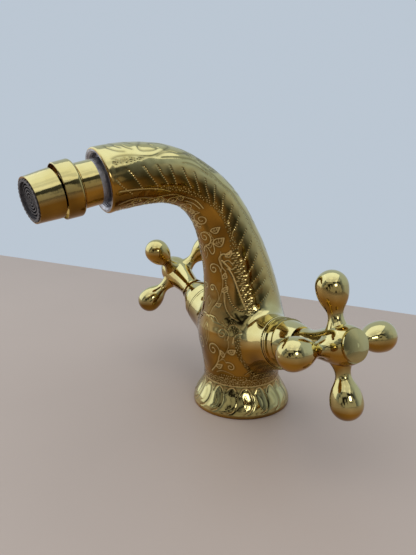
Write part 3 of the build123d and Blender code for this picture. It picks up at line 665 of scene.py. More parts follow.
@dataclass
class Casting:
    """The one-piece body: foot, trunk, two valve bosses and the swan-neck spout."""

    line: SpoutLine = field(default_factory=SpoutLine)
    base_radius: float = 25.0
    base_lip: float = 1.2
    base_round: float = 0.35
    flare_height: float = 15.0
    neck_radius: float = 19.4
    trunk_radius: float = 21.8
    bulge_height: float = 38.0
    throat_radius: float = 11.6
    tip_radius: float = 13.95
    tip_round: float = 0.7
    valve_height: float = 31.0
    valve_tilt: float = 17.4
    boss_end: float = 34.5
    boss_radius: float = 12.3
    boss_root: float = 12.0
    boss_draft: float = 1.6
    boss_blend: float = 13.5
    blend_fade: float = 16.0
    rim_round: float = 0.3
    rim_turns: tuple = (30, 60, 90)
    rim_inner: float = 11.0
    throat_power: float = 1.4
    swell_power: float = 1.2
    crown_ease: float = 0.03
    crown_ease_run: float = 20.0
    foot_pocket: tuple = ((24.3, 0.0), (24.3, 1.6), (21.0, 5.0), (18.0, 14.0), (17.0, 23.0))
    mouth_pocket: float = 13.2
    mouth_depth: float = 11.0
    blend_stations: tuple = (10, 75)
    blend_half: float = 6.0
    table_size: int = 3400
    flare_steps: int = 200
    ring_count: int = 530
    around: int = 320
    block_at: float = 22.4
    block_half: float = 17.5
    root_halvings: int = 24
    wall_rings: int = 16
    boss_rings: int = 24

    def __post_init__(self) -> None:
        """Tabulates the outside radius along the centre line."""
        radius, degrees = self.line.bends[1]
        self.throat = self.line.arcs[1][0] + math.radians(degrees) * radius / 2
        stations = np.linspace(0, self.line.end, self.table_size)
        self.table = stations, self._radius(stations)
        tilt = math.radians(self.valve_tilt)
        self.axes = {side: np.array([side * math.cos(tilt), 0, math.sin(tilt)]) for side in (1, -1)}
        self.valve_origin = np.array([0, 0, self.valve_height])

    def _flare(self, station: Array) -> Array:
        """Radius of the bell-shaped foot.

        Args:
            station: Lengths along the centre line.

        Returns:
            The radius at each.
        """
        share = np.linspace(0, 1, self.flare_steps)
        rise, run = self.flare_height - self.base_lip, self.neck_radius - self.base_radius
        chord = math.hypot(rise, run)
        ease = 3 * share**2 - 2 * share**3
        pull = (share**3 - 2 * share**2 + share) + (share**3 - share**2)
        height = self.base_lip + rise * ease + chord * pull
        return np.interp(station, height, self.base_radius + run * ease)

    def _radius(self, station: Array) -> Array:
        """Outside radius of foot, trunk and spout.

        Args:
            station: Lengths along the centre line.

        Returns:
            The radius at each.
        """
        share = share_between(station, self.flare_height, self.bulge_height)
        trunk = self.neck_radius + (self.trunk_radius - self.neck_radius) * share**2 * (3 - 2 * share)
        radius = np.where(station < self.flare_height, self._flare(station), trunk)
        top, throat = self.line.trunk_top, self.throat
        taper = (1 - share_between(station, top, throat)) ** self.throat_power
        neck = self.throat_radius + (self.trunk_radius - self.throat_radius) * taper
        radius = np.where(station > top, neck, radius)
        swell = np.sin(math.pi / 2 * share_between(station, throat, self.line.bend_end)) ** self.swell_power
        tip = self.throat_radius + (self.tip_radius - self.throat_radius) * swell
        ease = self.crown_ease * np.clip((station - throat) / self.crown_ease_run, 0, 1)
        radius = np.where(station > throat, tip - ease, radius)
        radius -= round_off(self.base_round - station, self.base_round)
        return radius - round_off(station - (self.line.end - self.tip_round), self.tip_round)

    def radius(self, station: Array) -> Array:
        """Outside radius at each station, from the table."""
        return np.interp(station, *self.table)

    def skin(self, station: Array, angle: Array) -> Array:
        """Points on the foot, trunk or spout.

        Args:
            station: Lengths along the centre line.
            angle: Angles from the front, in radians, towards +X.

        Returns:
            Points in millimetres.
        """
        centre, heading = self.line.place(station)
        return centre + self.radius(station)[:, None] * self.outward(heading, angle)

    @staticmethod
    def outward(heading: Array, angle: Array) -> Array:
        """Unit directions away from the centre line."""
        front = np.cos(angle)
        return np.c_[np.sin(angle), -np.cos(heading) * front, -np.sin(heading) * front]

    def sheet_place(self, points: Array) -> tuple[Array, Array]:
        """Where points lie on the engraver's sheet.

        Args:
            points: Points in millimetres, one row each.

        Returns:
            Their stations, and their angles from the front in radians.
        """
        station = self.line.station(points)
        centre, heading = self.line.place(station)
        away = points - centre
        front = -away[:, 1] * np.cos(heading) - away[:, 2] * np.sin(heading)
        return station, np.arctan2(away[:, 0], front)

    def boss_place(self, points: Array, side: int) -> tuple[Array, Array]:
        """Where points lie about a valve's axis.

        Args:
            points: Points in millimetres, one row each.
            side: 1 for cold, -1 for hot.

        Returns:
            How far out along the axis each point is, and how far from it.
        """
        away = points - self.valve_origin
        along = away @ self.axes[side]
        return along, np.linalg.norm(away - along[:, None] * self.axes[side], axis=1)

    def boss_wall(self, along: Array) -> Array:
        """Radius of a boss's cone."""
        return self.boss_radius + self.boss_draft * (self.boss_end - along) / (self.boss_end - self.boss_root)

    def distance(self, points: Array) -> Array:
        """About how far points are outside the trunk, with the bosses blended in.

        Args:
            points: Points in millimetres, one row each.

        Returns:
            The distance of each.
        """
        station = self.line.station(points)
        centre, _ = self.line.place(station)
        trunk = np.linalg.norm(points - centre, axis=1) - self.radius(station)
        cold = self.boss_place(points, 1)
        hot = self.boss_place(points, -1)
        along, away = (np.where(points[:, 0] >= 0, *pair) for pair in zip(cold, hot))
        wall = away - self.boss_wall(along)
        wall = wall + np.maximum(self.blend_fade - along, 0) ** 2 / self.blend_fade
        near = np.maximum(1 - np.abs(trunk - wall) / self.boss_blend, 0)
        return np.minimum(trunk, wall) - self.boss_blend / 6 * near**3

    def settle(self, points: Array, rounds: int = 7, step: float = 0.01, least: float = 0.2) -> Array:
        """Moves points onto the blended surface.

        Args:
            points: Points near the surface.
            rounds: Number of corrections.
            step: How far apart the slope is measured, in millimetres.
            least: The least squared slope that a correction counts with.

        Returns:
            The points on the surface.
        """
        for _ in range(rounds):
            value = self.distance(points)
            slope = np.empty_like(points)
            for axis in range(3):
                moved = points.copy()
                moved[:, axis] += step
                slope[:, axis] = (self.distance(moved) - value) / step
            steep = np.maximum((slope**2).sum(axis=1), least)
            points = points - (value / steep)[:, None] * slope
        return points

    def stations(self) -> Array:
        """Stations of the skin's rings.

        Returns:
            Stations, evenly spaced along the outline.
        """
        table, radius = self.table
        run = np.concatenate([[0], np.cumsum(np.hypot(np.diff(table), np.diff(radius)))])
        return np.interp(np.linspace(0, run[-1], self.ring_count + 1), run, table)

    def mesh(self) -> tuple[Array, Array, list[list[int]]]:
        """The closed skin before it is engraved.

        Returns:
            Corner points, quads, and the rings that close its pockets and bosses.
        """
        rings, count = self.stations(), self.around
        turns = np.arange(count) * TURN / count
        station, angle = (grid.ravel() for grid in np.meshgrid(rings, turns, indexing="ij"))
        points = self.skin(station, angle)
        low, high = self.blend_stations
        near = (station > low) & (station < high) & (np.abs(points[:, 0]) > self.blend_half)
        points[near] = self.settle(points[near])
        number = np.arange(points.shape[0]).reshape(len(rings), count)
        beside = np.roll(number, -1, 1)
        quads = np.stack([number[:-1], beside[:-1], beside[1:], number[1:]], -1)
        keep = np.ones(quads.shape[:2], bool)
        extra_points, extra_quads, caps, total = [], [], [], points.shape[0]
        for side in (1, -1):
            block, border = self._block(rings, number, side)
            keep[block] = False
            new, faces = self._boss(points[border], border, side, total)
            total += len(new)
            extra_points.append(new)
            extra_quads.append(faces)
            caps.append(np.arange(total - len(border), total))
        ends = self._ends(number, total)
        extra_points.append(ends[0])
        extra_quads.append(ends[1])
        caps += ends[2]
        every = np.concatenate([points, *extra_points])
        faces = np.concatenate([quads[keep].reshape(-1, 4), *extra_quads])
        used, faces = np.unique(faces, return_inverse=True)
        renumber = np.full(len(every), -1)
        renumber[used] = np.arange(len(used))
        return every[used], faces.reshape(-1, 4), [renumber[cap].tolist() for cap in caps]

    def _block(self, rings: Array, number: Array, side: int) -> tuple[tuple, Array]:
        """The patch of the grid that a boss takes over.

        Args:
            rings: Stations of the rings.
            number: Corner numbers of the grid.
            side: 1 for cold, -1 for hot.

        Returns:
            The cells as an index, and the corner numbers round the patch.
        """
        pierce = self.valve_height + self.block_at * math.sin(math.radians(self.valve_tilt))
        low, high = np.searchsorted(rings, [pierce - self.block_half, pierce + self.block_half])
        middle = self.around // 4 if side > 0 else 3 * self.around // 4
        half = round(self.block_half / self.trunk_radius / TURN * self.around)
        left, right = middle - half, middle + half
        foot, head = number[low, left:right], number[high, right:left:-1]
        border = np.concatenate([foot, number[low:high, right], head, number[high:low:-1, left]])
        return (slice(low, high), slice(left, right)), border

    def _boss(self, start: Array, border: Array, side: int, first: int) -> tuple[Array, Array]:
        """Rings from the patch's border in to the boss, up its side and over its rim.

        Args:
            start: Points of the border.
            border: Corner numbers of the border.
            side: 1 for cold, -1 for hot.
            first: Number of the first new corner.

        Returns:
            The new points and quads.
        """
        axis, origin, count = self.axes[side], self.valve_origin, len(start)
        away = start - origin
        spoke = unit(away - (away @ axis)[:, None] * axis)

        def cone(along: Array) -> Array:
            """Points on the boss's cone, one on each spoke."""
            return origin + along[:, None] * axis + self.boss_wall(along)[:, None] * spoke

        low, high = np.full(count, self.boss_root), np.full(count, self.boss_end)
        for _ in range(self.root_halvings):
            along = (low + high) / 2
            probe = cone(along)
            station = self.line.station(probe)
            centre, _ = self.line.place(station)
            inside = np.linalg.norm(probe - centre, axis=1) < self.radius(station)
            low, high = np.where(inside, along, low), np.where(inside, high, along)
        rim_start = self.boss_end - self.rim_round
        foot, rim = cone(along), cone(np.full(count, rim_start))
        steps, spans = self.wall_rings + 1, self.boss_rings
        rings = [start + (foot - start) * index / steps for index in range(1, steps)]
        rings += [foot + (rim - foot) * index / spans for index in range(spans + 1)]
        settled = self.settle(np.concatenate(rings[:-1])).reshape(-1, count, 3)
        rings = [*settled, rings[-1]]
        for turn in map(math.radians, self.rim_turns):
            out = self.boss_radius - self.rim_round * (1 - math.cos(turn))
            up = rim_start + self.rim_round * math.sin(turn)
            rings.append(origin + up * axis + out * spoke)
        rings.append(origin + self.boss_end * axis + self.rim_inner * spoke)
        numbers = [border] + [first + index * count + np.arange(count) for index in range(len(rings))]
        quads = [ring_quads(*pair) for pair in zip(numbers[:-1], numbers[1:])]
        return np.concatenate(rings), np.concatenate(quads)

    def _ends(self, number: Array, first: int) -> tuple[Array, Array, list[Array]]:
        """Pockets that close the skin at the foot and the spout's mouth.

        Args:
            number: Corner numbers of the grid.
            first: Number of the first new corner.

        Returns:
            The new points, quads and closing rings.
        """
        count = self.around
        turns = np.arange(count) * TURN / count
        points, quads, caps = [], [], []
        mouth = ((self.mouth_pocket, 0.0), (self.mouth_pocket, -self.mouth_depth))
        pockets = (self.foot_pocket, number[0], 0.0, True), (mouth, number[-1], self.line.end, False)
        for profile, previous, base, turned in pockets:
            for radius, height in profile:
                centre, heading = self.line.place(np.full(count, base + height))
                points.append(centre + radius * self.outward(heading, turns))
                current = first + np.arange(count)
                first += count
                quads.append(ring_quads(current, previous) if turned else ring_quads(previous, current))
                previous = current
            caps.append(previous[::-1] if turned else previous)
        return np.concatenate(points), np.concatenate(quads), caps


# ---------------------------------------------------------------- the engraver's work
class Cut(Enum):
    """Half-width and depth of a graver's mark, in millimetres."""

    BOLD = (0.52, 0.24)
    LINE = (0.42, 0.17)
    FINE = (0.36, 0.13)
    PUNCH = (0.40, 0.22)
    BEAD = (0.50, 0.26)
    STIPPLE = (0.38, 0.21)


class Fold(Enum):
    """Where a motif is repeated round the body: turn offset and sense of the angle."""

    DRAWN = (0.0, 1.0)
    MIRRORED = (0.0, -1.0)
    BEHIND = (180.0, -1.0)
    BEHIND_MIRRORED = (180.0, 1.0)

    def angle(self, degrees: float) -> float:
        """The angle of the repeated mark."""
        return self.value[0] + self.value[1] * degrees


SIDES = (Fold.DRAWN, Fold.MIRRORED)
ALL_ROUND = tuple(Fold)


@dataclass(frozen=True)
class ScrollForm:
    """The proportions of a spiral scroll and of the leaf lobes along its back.

    Runs along the spiral are in degrees; swells are shares of the spiral's own radius.
    """

    closing: float = 1.55
    step: int = 18
    lobes: tuple = ((4, 46, 1.42), (54, 42, 1.40), (100, 38, 1.36), (142, 34, 1.30))
    lobes_end: float = 0.7
    outline: tuple = ((0, 0), (0.18, 0.75), (0.62, 1), (1.02, 0.7))
    heel: float = 1.04
    vein_root: tuple = (0.35, 1.06)
    vein_tip: tuple = (0.62, 0.6)


@dataclass(frozen=True)
class LeafForm:
    """The proportions of a pointed leaf, as shares of its length and width."""

    points: int = 8
    fullness: float = 0.8
    bend: float = 0.18
    vein_span: float = 0.85
    vein_rise: float = 0.16
    vein_reach: float = 0.34


@dataclass(frozen=True)
class FluteForm:
    """How a flute's hollow and its painted shadow fade towards their ends."""

    ends: float = 1.6
    waist: float = 2.2
    waist_lean: float = 0.5
    shadow: float = 0.86
    shadow_gain: float = 1.5
    shadow_power: float = 0.7
    shadow_ends: float = 3.0


@dataclass
class EngravingSheet:
    """A developed sheet of the body: depth, and patina with painted shade, by station and angle."""

    casting: Casting
    step: float = 0.11
    turn_step: float = 0.5
    seed: int = 11
    mean_radius: float = 16.0
    polish_sink: float = 2.2
    gadroon_ends: float = 0.6
    shade_middle: float = 0.7
    shade_ends: float = 6.0
    cut_roundness: float = 0.8
    line_gap: float = 0.17
    dash_space: float = 0.8
    scatter: float = 0.25
    stagger: tuple = (0.3, 0.5)
    least_span: float = 0.1
    tiny: float = 0.001
    scroll: ScrollForm = field(default_factory=ScrollForm)
    leaf_form: LeafForm = field(default_factory=LeafForm)
    flute_form: FluteForm = field(default_factory=FluteForm)

    def __post_init__(self) -> None:
        """Lays out the empty sheet."""
        self.rows = int(self.casting.line.end / self.step) + 2
        self.columns = round(360 / self.turn_step)
        self.depth = np.zeros((self.rows, self.columns))
        self.form = np.zeros((self.rows, self.columns))
        self.patina_and_painted_shade = np.zeros((self.rows, self.columns))
        self.random = np.random.default_rng(self.seed)
        self.row_radius = self.casting.radius(np.arange(self.rows) * self.step)

    def ripple(self, waves: int, shortest: float, longest: float, height: float) -> None:
        """Leaves the faint unevenness of hand polishing.

        Args:
            waves: Number of crossing waves.
            shortest: Shortest wavelength in millimetres.
            longest: Longest wavelength in millimetres.
            height: Root-mean-square height in millimetres.
        """
        stations = np.arange(self.rows)[:, None] * self.step
        turns = np.radians(np.arange(self.columns) * self.turn_step)[None, :]
        total = np.zeros_like(self.depth)
        for _ in range(waves):
            length, heading, phase = self.random.uniform((shortest, 0, 0), (longest, math.pi, TURN))
            around = round(self.mean_radius * math.sin(heading) * TURN / length)
            total += np.sin(TURN * math.cos(heading) / length * stations + around * turns + phase)
        self.form += height * (total / total.std() + self.polish_sink)

    def gadroons(
        self, count: int, start: float, low: float, high: float, slant: float, deep: float
    ) -> None:
        """Hollows a band into slanting lobes.

        Args:
            count: Number of lobes.
            start: Angle of the first ridge in degrees.
            low: Station of the lower end.
            high: Station of the upper end.
            slant: Degrees that a lobe turns over its length.
            deep: Depth of each hollow in millimetres.
        """
        stations = np.arange(self.rows)[:, None] * self.step
        share = share_between(stations, low, high)
        angles = np.arange(self.columns)[None, :] * self.turn_step - start - slant * (1 - share)
        hollow = np.abs(np.sin(np.radians(angles) * count / 2))
        self.form += deep * hollow * np.sin(math.pi * share) ** self.gadroon_ends

    def _darken(self, row: int, columns: Array, level: Array | float, folds: tuple) -> None:
        """Raises the patina and painted shade of part of a row.

        Args:
            row: The sheet's row.
            columns: The cells, counted from the front.
            level: The patina, for all or for each.
            folds: Where they are repeated.
        """
        for fold in folds:
            offset, sense = fold.value
            places = np.round(offset / self.turn_step + sense * columns).astype(int) % self.columns
            self.patina_and_painted_shade[row, places] = np.maximum(self.patina_and_painted_shade[row, places], level)

    def shade(self, left: Places, right: Places, amount: float, folds: tuple = SIDES) -> None:
        """Paints shade: darkens a strip, most along its middle, to stand for a shadow or a dark reflection.

        Args:
            left: Stations and angles of one edge, with rising stations.
            right: Stations and angles of the other edge, with rising stations.
            amount: Painted shade along the middle.
            folds: Where the strip is repeated.
        """
        low, high = np.array(left, float).T, np.array(right, float).T
        first, last = max(low[0][0], high[0][0]), min(low[0][-1], high[0][-1])
        for row in range(math.ceil(first / self.step), int(last / self.step)):
            station = row * self.step
            edges = sorted((np.interp(station, *low), np.interp(station, *high)))
            columns = np.arange(math.ceil(edges[0] / self.turn_step), int(edges[1] / self.turn_step) + 1)
            across = (columns * self.turn_step - edges[0]) / max(edges[1] - edges[0], self.least_span)
            level = amount * np.sin(math.pi * np.clip(across, 0, 1)) ** self.shade_middle
            ends = (self.shade_ends * gap / (last - first) for gap in (station - first, last - station))
            self._darken(row, columns, level * min(1.0, *ends), folds)

    def tarnish(self, reach: float, amount: float, full: float) -> None:
        """Darkens the plating beside the cuts, where polish never reaches.

        Args:
            reach: How far the dark edge extends, in millimetres.
            amount: Patina at its darkest.
            full: Mean depth of cut that gives the darkest edge, in millimetres.
        """
        spread = self.depth
        turn = math.degrees(reach / self.mean_radius)
        for axis, size in ((0, round(reach / self.step)), (1, round(turn / self.turn_step))):
            spread = sum(np.roll(spread, shift, axis) for shift in range(-size, size + 1)) / (2 * size + 1)
        self.patina_and_painted_shade = np.maximum(self.patina_and_painted_shade, amount * np.clip(spread / full, 0, 1))

    def dab(self, station: float, angle: float, cut: Cut, folds: tuple = (Fold.DRAWN,)) -> None:
        """Presses one round mark into the sheet, at each of its repeats.

        Args:
            station: Length along the centre line.
            angle: Angle from the front in degrees.
            cut: Half-width and depth.
            folds: Where it is repeated.
        """
        width, deep = cut.value
        rows = np.arange(math.ceil((station - width) / self.step), int((station + width) / self.step) + 1)
        rows = rows[(rows >= 0) & (rows < self.rows)]
        if not len(rows):
            return
        radius = self.row_radius[rows[0]]
        span = math.degrees(width / radius)
        along = rows * self.step - station
        for turn in (fold.angle(angle) for fold in folds):
            first, last = math.ceil((turn - span) / self.turn_step), int((turn + span) // self.turn_step)
            columns = np.arange(first, last + 1)
            across = np.radians(columns * self.turn_step - turn) * radius
            share = 1 - (along[:, None] ** 2 + across[None, :] ** 2) / width**2
            place = np.ix_(rows, columns % self.columns)
            mark = deep * np.clip(share, 0, 1) ** self.cut_roundness
            self.depth[place] = np.maximum(self.depth[place], mark)

    def curve(self, points: Places, gap: float) -> Array:
        """A smooth line through points, as closely spaced places.

        Args:
            points: Stations and angles in degrees.
            gap: About how far apart the places are, in millimetres.

        Returns:
            Stations and angles, one row each.
        """
        place = np.array(points, float)
        knots = np.vstack([2 * place[0] - place[1], place, 2 * place[-1] - place[-2]])
        line = []
        for a, b, c, d in zip(knots[:-3], knots[1:-2], knots[2:-1], knots[3:]):
            length = math.hypot(c[0] - b[0], math.radians(c[1] - b[1]) * self.mean_radius)
            share = np.arange(max(1, round(length / gap)))[:, None] / max(1, round(length / gap))
            cubic = (3 * b - a - 3 * c + d) * share**3 + (2 * a - 5 * b + 4 * c - d) * share**2
            line.append(0.5 * (2 * b + (c - a) * share + cubic))
        return np.concatenate([*line, place[-1:]])

    def lay(self, station: float, angle: float, points: Array) -> Array:
        """Places a flat drawing on the body.

        Args:
            station: Where the drawing's origin lies along the body.
            angle: Where it lies round the body, in degrees.
            points: Millimetres along and round the body, one row each.

        Returns:
            Stations and angles in degrees.
        """
        stations = station + points[:, 0]
        return np.c_[stations, angle + np.degrees(points[:, 1] / self.casting.radius(stations))]

    def volute(
        self, station: float, angle: float, size: float, start: float, turns: float, folds: tuple, lobes: int
    ) -> None:
        """Cuts a spiral scroll, with or without leaf lobes along its back.

        Args:
            station: Its eye's place along the body.
            angle: Its eye's angle in degrees.
            size: Outer radius in millimetres.
            start: Direction of its outer end, in degrees from straight up the body.
            turns: Number of turns; negative ones wind the other way.
            folds: Where it is repeated.
            lobes: The most lobes that it has.
        """
        form, reach, sense = self.scroll, abs(turns) * 360, math.copysign(1.0, turns)

        def spot(run: float, swell: float = 1.0) -> tuple[float, float]:
            """A place along the spiral.

            Args:
                run: Degrees along the spiral.
                swell: Share of the spiral's own radius.

            Returns:
                Millimetres along and round the body.
            """
            turn = math.radians(start + sense * run)
            radius = size * swell * math.exp(-form.closing * run / reach)
            return radius * math.cos(turn), radius * math.sin(turn)

        def mark(places: Places, cut: Cut) -> None:
            """Cuts a line through some places of the scroll."""
            self.stroke(self.lay(station, angle, np.array(places)), cut, folds)

        spine = [spot(run) for run in np.arange(0, reach + 1, form.step)]
        mark(spine, Cut.LINE)
        (root, lift), (tip, height) = form.vein_root, form.vein_tip
        for run, width, swell in form.lobes[:lobes]:
            if run + width > reach * form.lobes_end:
                break
            lobe = [spot(run + width * part, 1 + share * (swell - 1)) for part, share in form.outline]
            mark([*lobe, spot(run + width, form.heel)], Cut.FINE)
            end = spot(run + width * tip, 1 + height * (swell - 1))
            mark([spot(run + width * root, lift), end], Cut.FINE)
        self.dab(*self.lay(station, angle, np.array(spine[-1:]))[0], Cut.PUNCH, folds)

    def leaf(
        self, station: float, angle: float, length: float, width: float, lean: float, veins: int, folds: tuple
    ) -> None:
        """Cuts a pointed leaf with a midrib and slanting veins.

        Args:
            station: Its root's place along the body.
            angle: Its root's angle in degrees.
            length: Length in millimetres.
            width: Width in millimetres.
            lean: Direction it points in, in degrees from straight up the body.
            veins: Number of veins on each side.
            folds: Where it is repeated.
        """
        form, turn = self.leaf_form, math.radians(lean)
        ahead, aside = np.array([math.cos(turn), math.sin(turn)]), np.array([-math.sin(turn), math.cos(turn)])

        def mark(places: Places, cut: Cut) -> None:
            """Cuts a line through some places of the leaf."""
            self.stroke(self.lay(station, angle, places), cut, folds)

        share = np.linspace(0, 1, form.points)[:, None]
        bow = np.sin(math.pi * share**form.fullness) * width / 2
        bend = np.sin(math.pi * share) * width * form.bend
        for side in (1, -1):
            mark(share * length * ahead + (side * bow + bend) * aside, Cut.LINE)
        mark(share[:-1] * length * ahead + bend[:-1] * aside, Cut.FINE)
        for vein in range(veins):
            part = (vein + 1) / (veins + 1)
            root = part * form.vein_span * length * ahead + bend[form.points // 2 - 1] * aside
            for side in (1, -1):
                out = side * form.vein_reach * width * math.sin(math.pi * part)
                mark(np.array([root, root + form.vein_rise * length * ahead + out * aside]), Cut.FINE)

    def stroke(self, points: Places, cut: Cut, folds: tuple = SIDES, gap: float = 0.0) -> None:
        """Cuts a smooth line, or a row of dots where the gap is wide.

        Args:
            points: Stations and angles in degrees.
            cut: Half-width and depth.
            folds: Where the line is repeated.
            gap: Distance between marks in millimetres, if they are to stand apart.
        """
        for station, angle in self.curve(points, gap or self.line_gap):
            self.dab(station, angle, cut, folds)

    def strokes(self, lines: tuple, cut: Cut, folds: tuple = SIDES, gap: float = 0.0) -> None:
        """Cuts several lines alike; the arguments are those of stroke."""
        for line in lines:
            self.stroke(line, cut, folds, gap)

    def hatch(
        self, inner: Places, outer: Places, pitch: float, dash: float = 0.0, folds: tuple = SIDES,
        ground: float = 0.0,
    ) -> None:
        """Fills the strip between two lines with scattered punch marks or short dashes.

        Args:
            inner: Stations and angles of one edge, with rising stations.
            outer: Stations and angles of the other edge, with rising stations.
            pitch: About how far apart the marks are, in millimetres.
            dash: Length of a mark round the body, in millimetres.
            folds: Where the strip is repeated.
            ground: How much darker the strip turns between the marks.
        """
        low, high = np.array(inner, float).T, np.array(outer, float).T
        for row in range(int(low[0][0] / self.step), int(low[0][-1] / self.step)):
            edges = sorted((np.interp(row * self.step, *low), np.interp(row * self.step, *high)))
            columns = np.arange(int(edges[0] / self.turn_step), int(edges[1] / self.turn_step) + 1)
            self._darken(row, columns, ground, folds)
        first, last = max(low[0][0], high[0][0]), min(low[0][-1], high[0][-1])
        inset, shift = self.stagger
        for count, station in enumerate(np.arange(first, last, pitch)):
            edges = np.interp(station, *low), np.interp(station, *high)
            radius = self.row_radius[int(station / self.step)]
            turn = math.degrees((dash + self.dash_space if dash else pitch) / radius)
            for angle in np.arange(min(edges) + turn * (inset + shift * (count % 2)), max(edges), turn):
                drift = self.random.uniform(-self.scatter, self.scatter, 2)
                start, place = station + drift[0] * pitch, angle + drift[1] * turn
                for part in np.arange(0, dash + self.tiny, self.line_gap):
                    self.dab(start, place + math.degrees(part / radius), Cut.STIPPLE, folds)

    def flutes(self, rows: tuple, low: float, high: float, deep: float) -> None:
        """Sinks the surface a little behind each of a set of slanting rows, and paints shade there as a dark
        reflection stripe.

        Args:
            rows: Stations and angles of each row, in order along the body.
            low: Lowest angle in degrees.
            high: Highest angle in degrees.
            deep: Depth at the row.
        """
        form, stations = self.flute_form, np.arange(self.rows) * self.step
        for column in range(self.columns):
            angle = abs((column * self.turn_step + 180) % 360 - 180)
            if not low < angle < high:
                continue
            crossings = []
            for row in rows:
                angles, places = np.array(sorted((a, s) for s, a in row)).T
                slope = (places[-1] - places[0]) / (angles[-1] - angles[0])
                end = np.clip(angle, angles[0], angles[-1])
                crossings.append(np.interp(end, angles, places) + slope * (angle - end))
            number = np.interp(stations, crossings, np.arange(len(rows)), left=-1, right=-1)
            share = np.where(number >= 0, number - np.floor(number), 1.0)
            edge = math.sin(math.pi * (angle - low) / (high - low))
            bow = np.clip(1 - share, 0, 1) * (number >= 0) * (number < len(rows) - 1)
            self.form[:, column] += deep * bow**2 * min(1.0, form.ends * edge)
            # Painted shade: a dark stripe behind each row, standing for a dark reflection.
            waist = np.clip((high - angle) / (high - low) * form.waist - form.waist_lean * share, 0, 1)
            shadow = form.shadow * np.clip(form.shadow_gain * bow, 0, 1) ** form.shadow_power
            self.patina_and_painted_shade[:, column] = shadow * (waist * min(1.0, form.shadow_ends * edge))

    def sample(self, sheet: Array, station: Array, angle: Array) -> Array:
        """Reads a sheet between its cells.

        Args:
            sheet: The depth or the patina.
            station: Lengths along the centre line.
            angle: Angles from the front, in radians.

        Returns:
            The interpolated values.
        """
        row = np.clip(station / self.step, 0, self.rows - 1 - self.tiny)
        column = np.degrees(angle) / self.turn_step % self.columns
        top, left = row.astype(int), column.astype(int) % self.columns
        down, right = row - top, column - np.floor(column)
        beside = (left + 1) % self.columns
        near = sheet[top, left] * (1 - right) + sheet[top, beside] * right
        far = sheet[top + 1, left] * (1 - right) + sheet[top + 1, beside] * right
        return near * (1 - down) + far * down


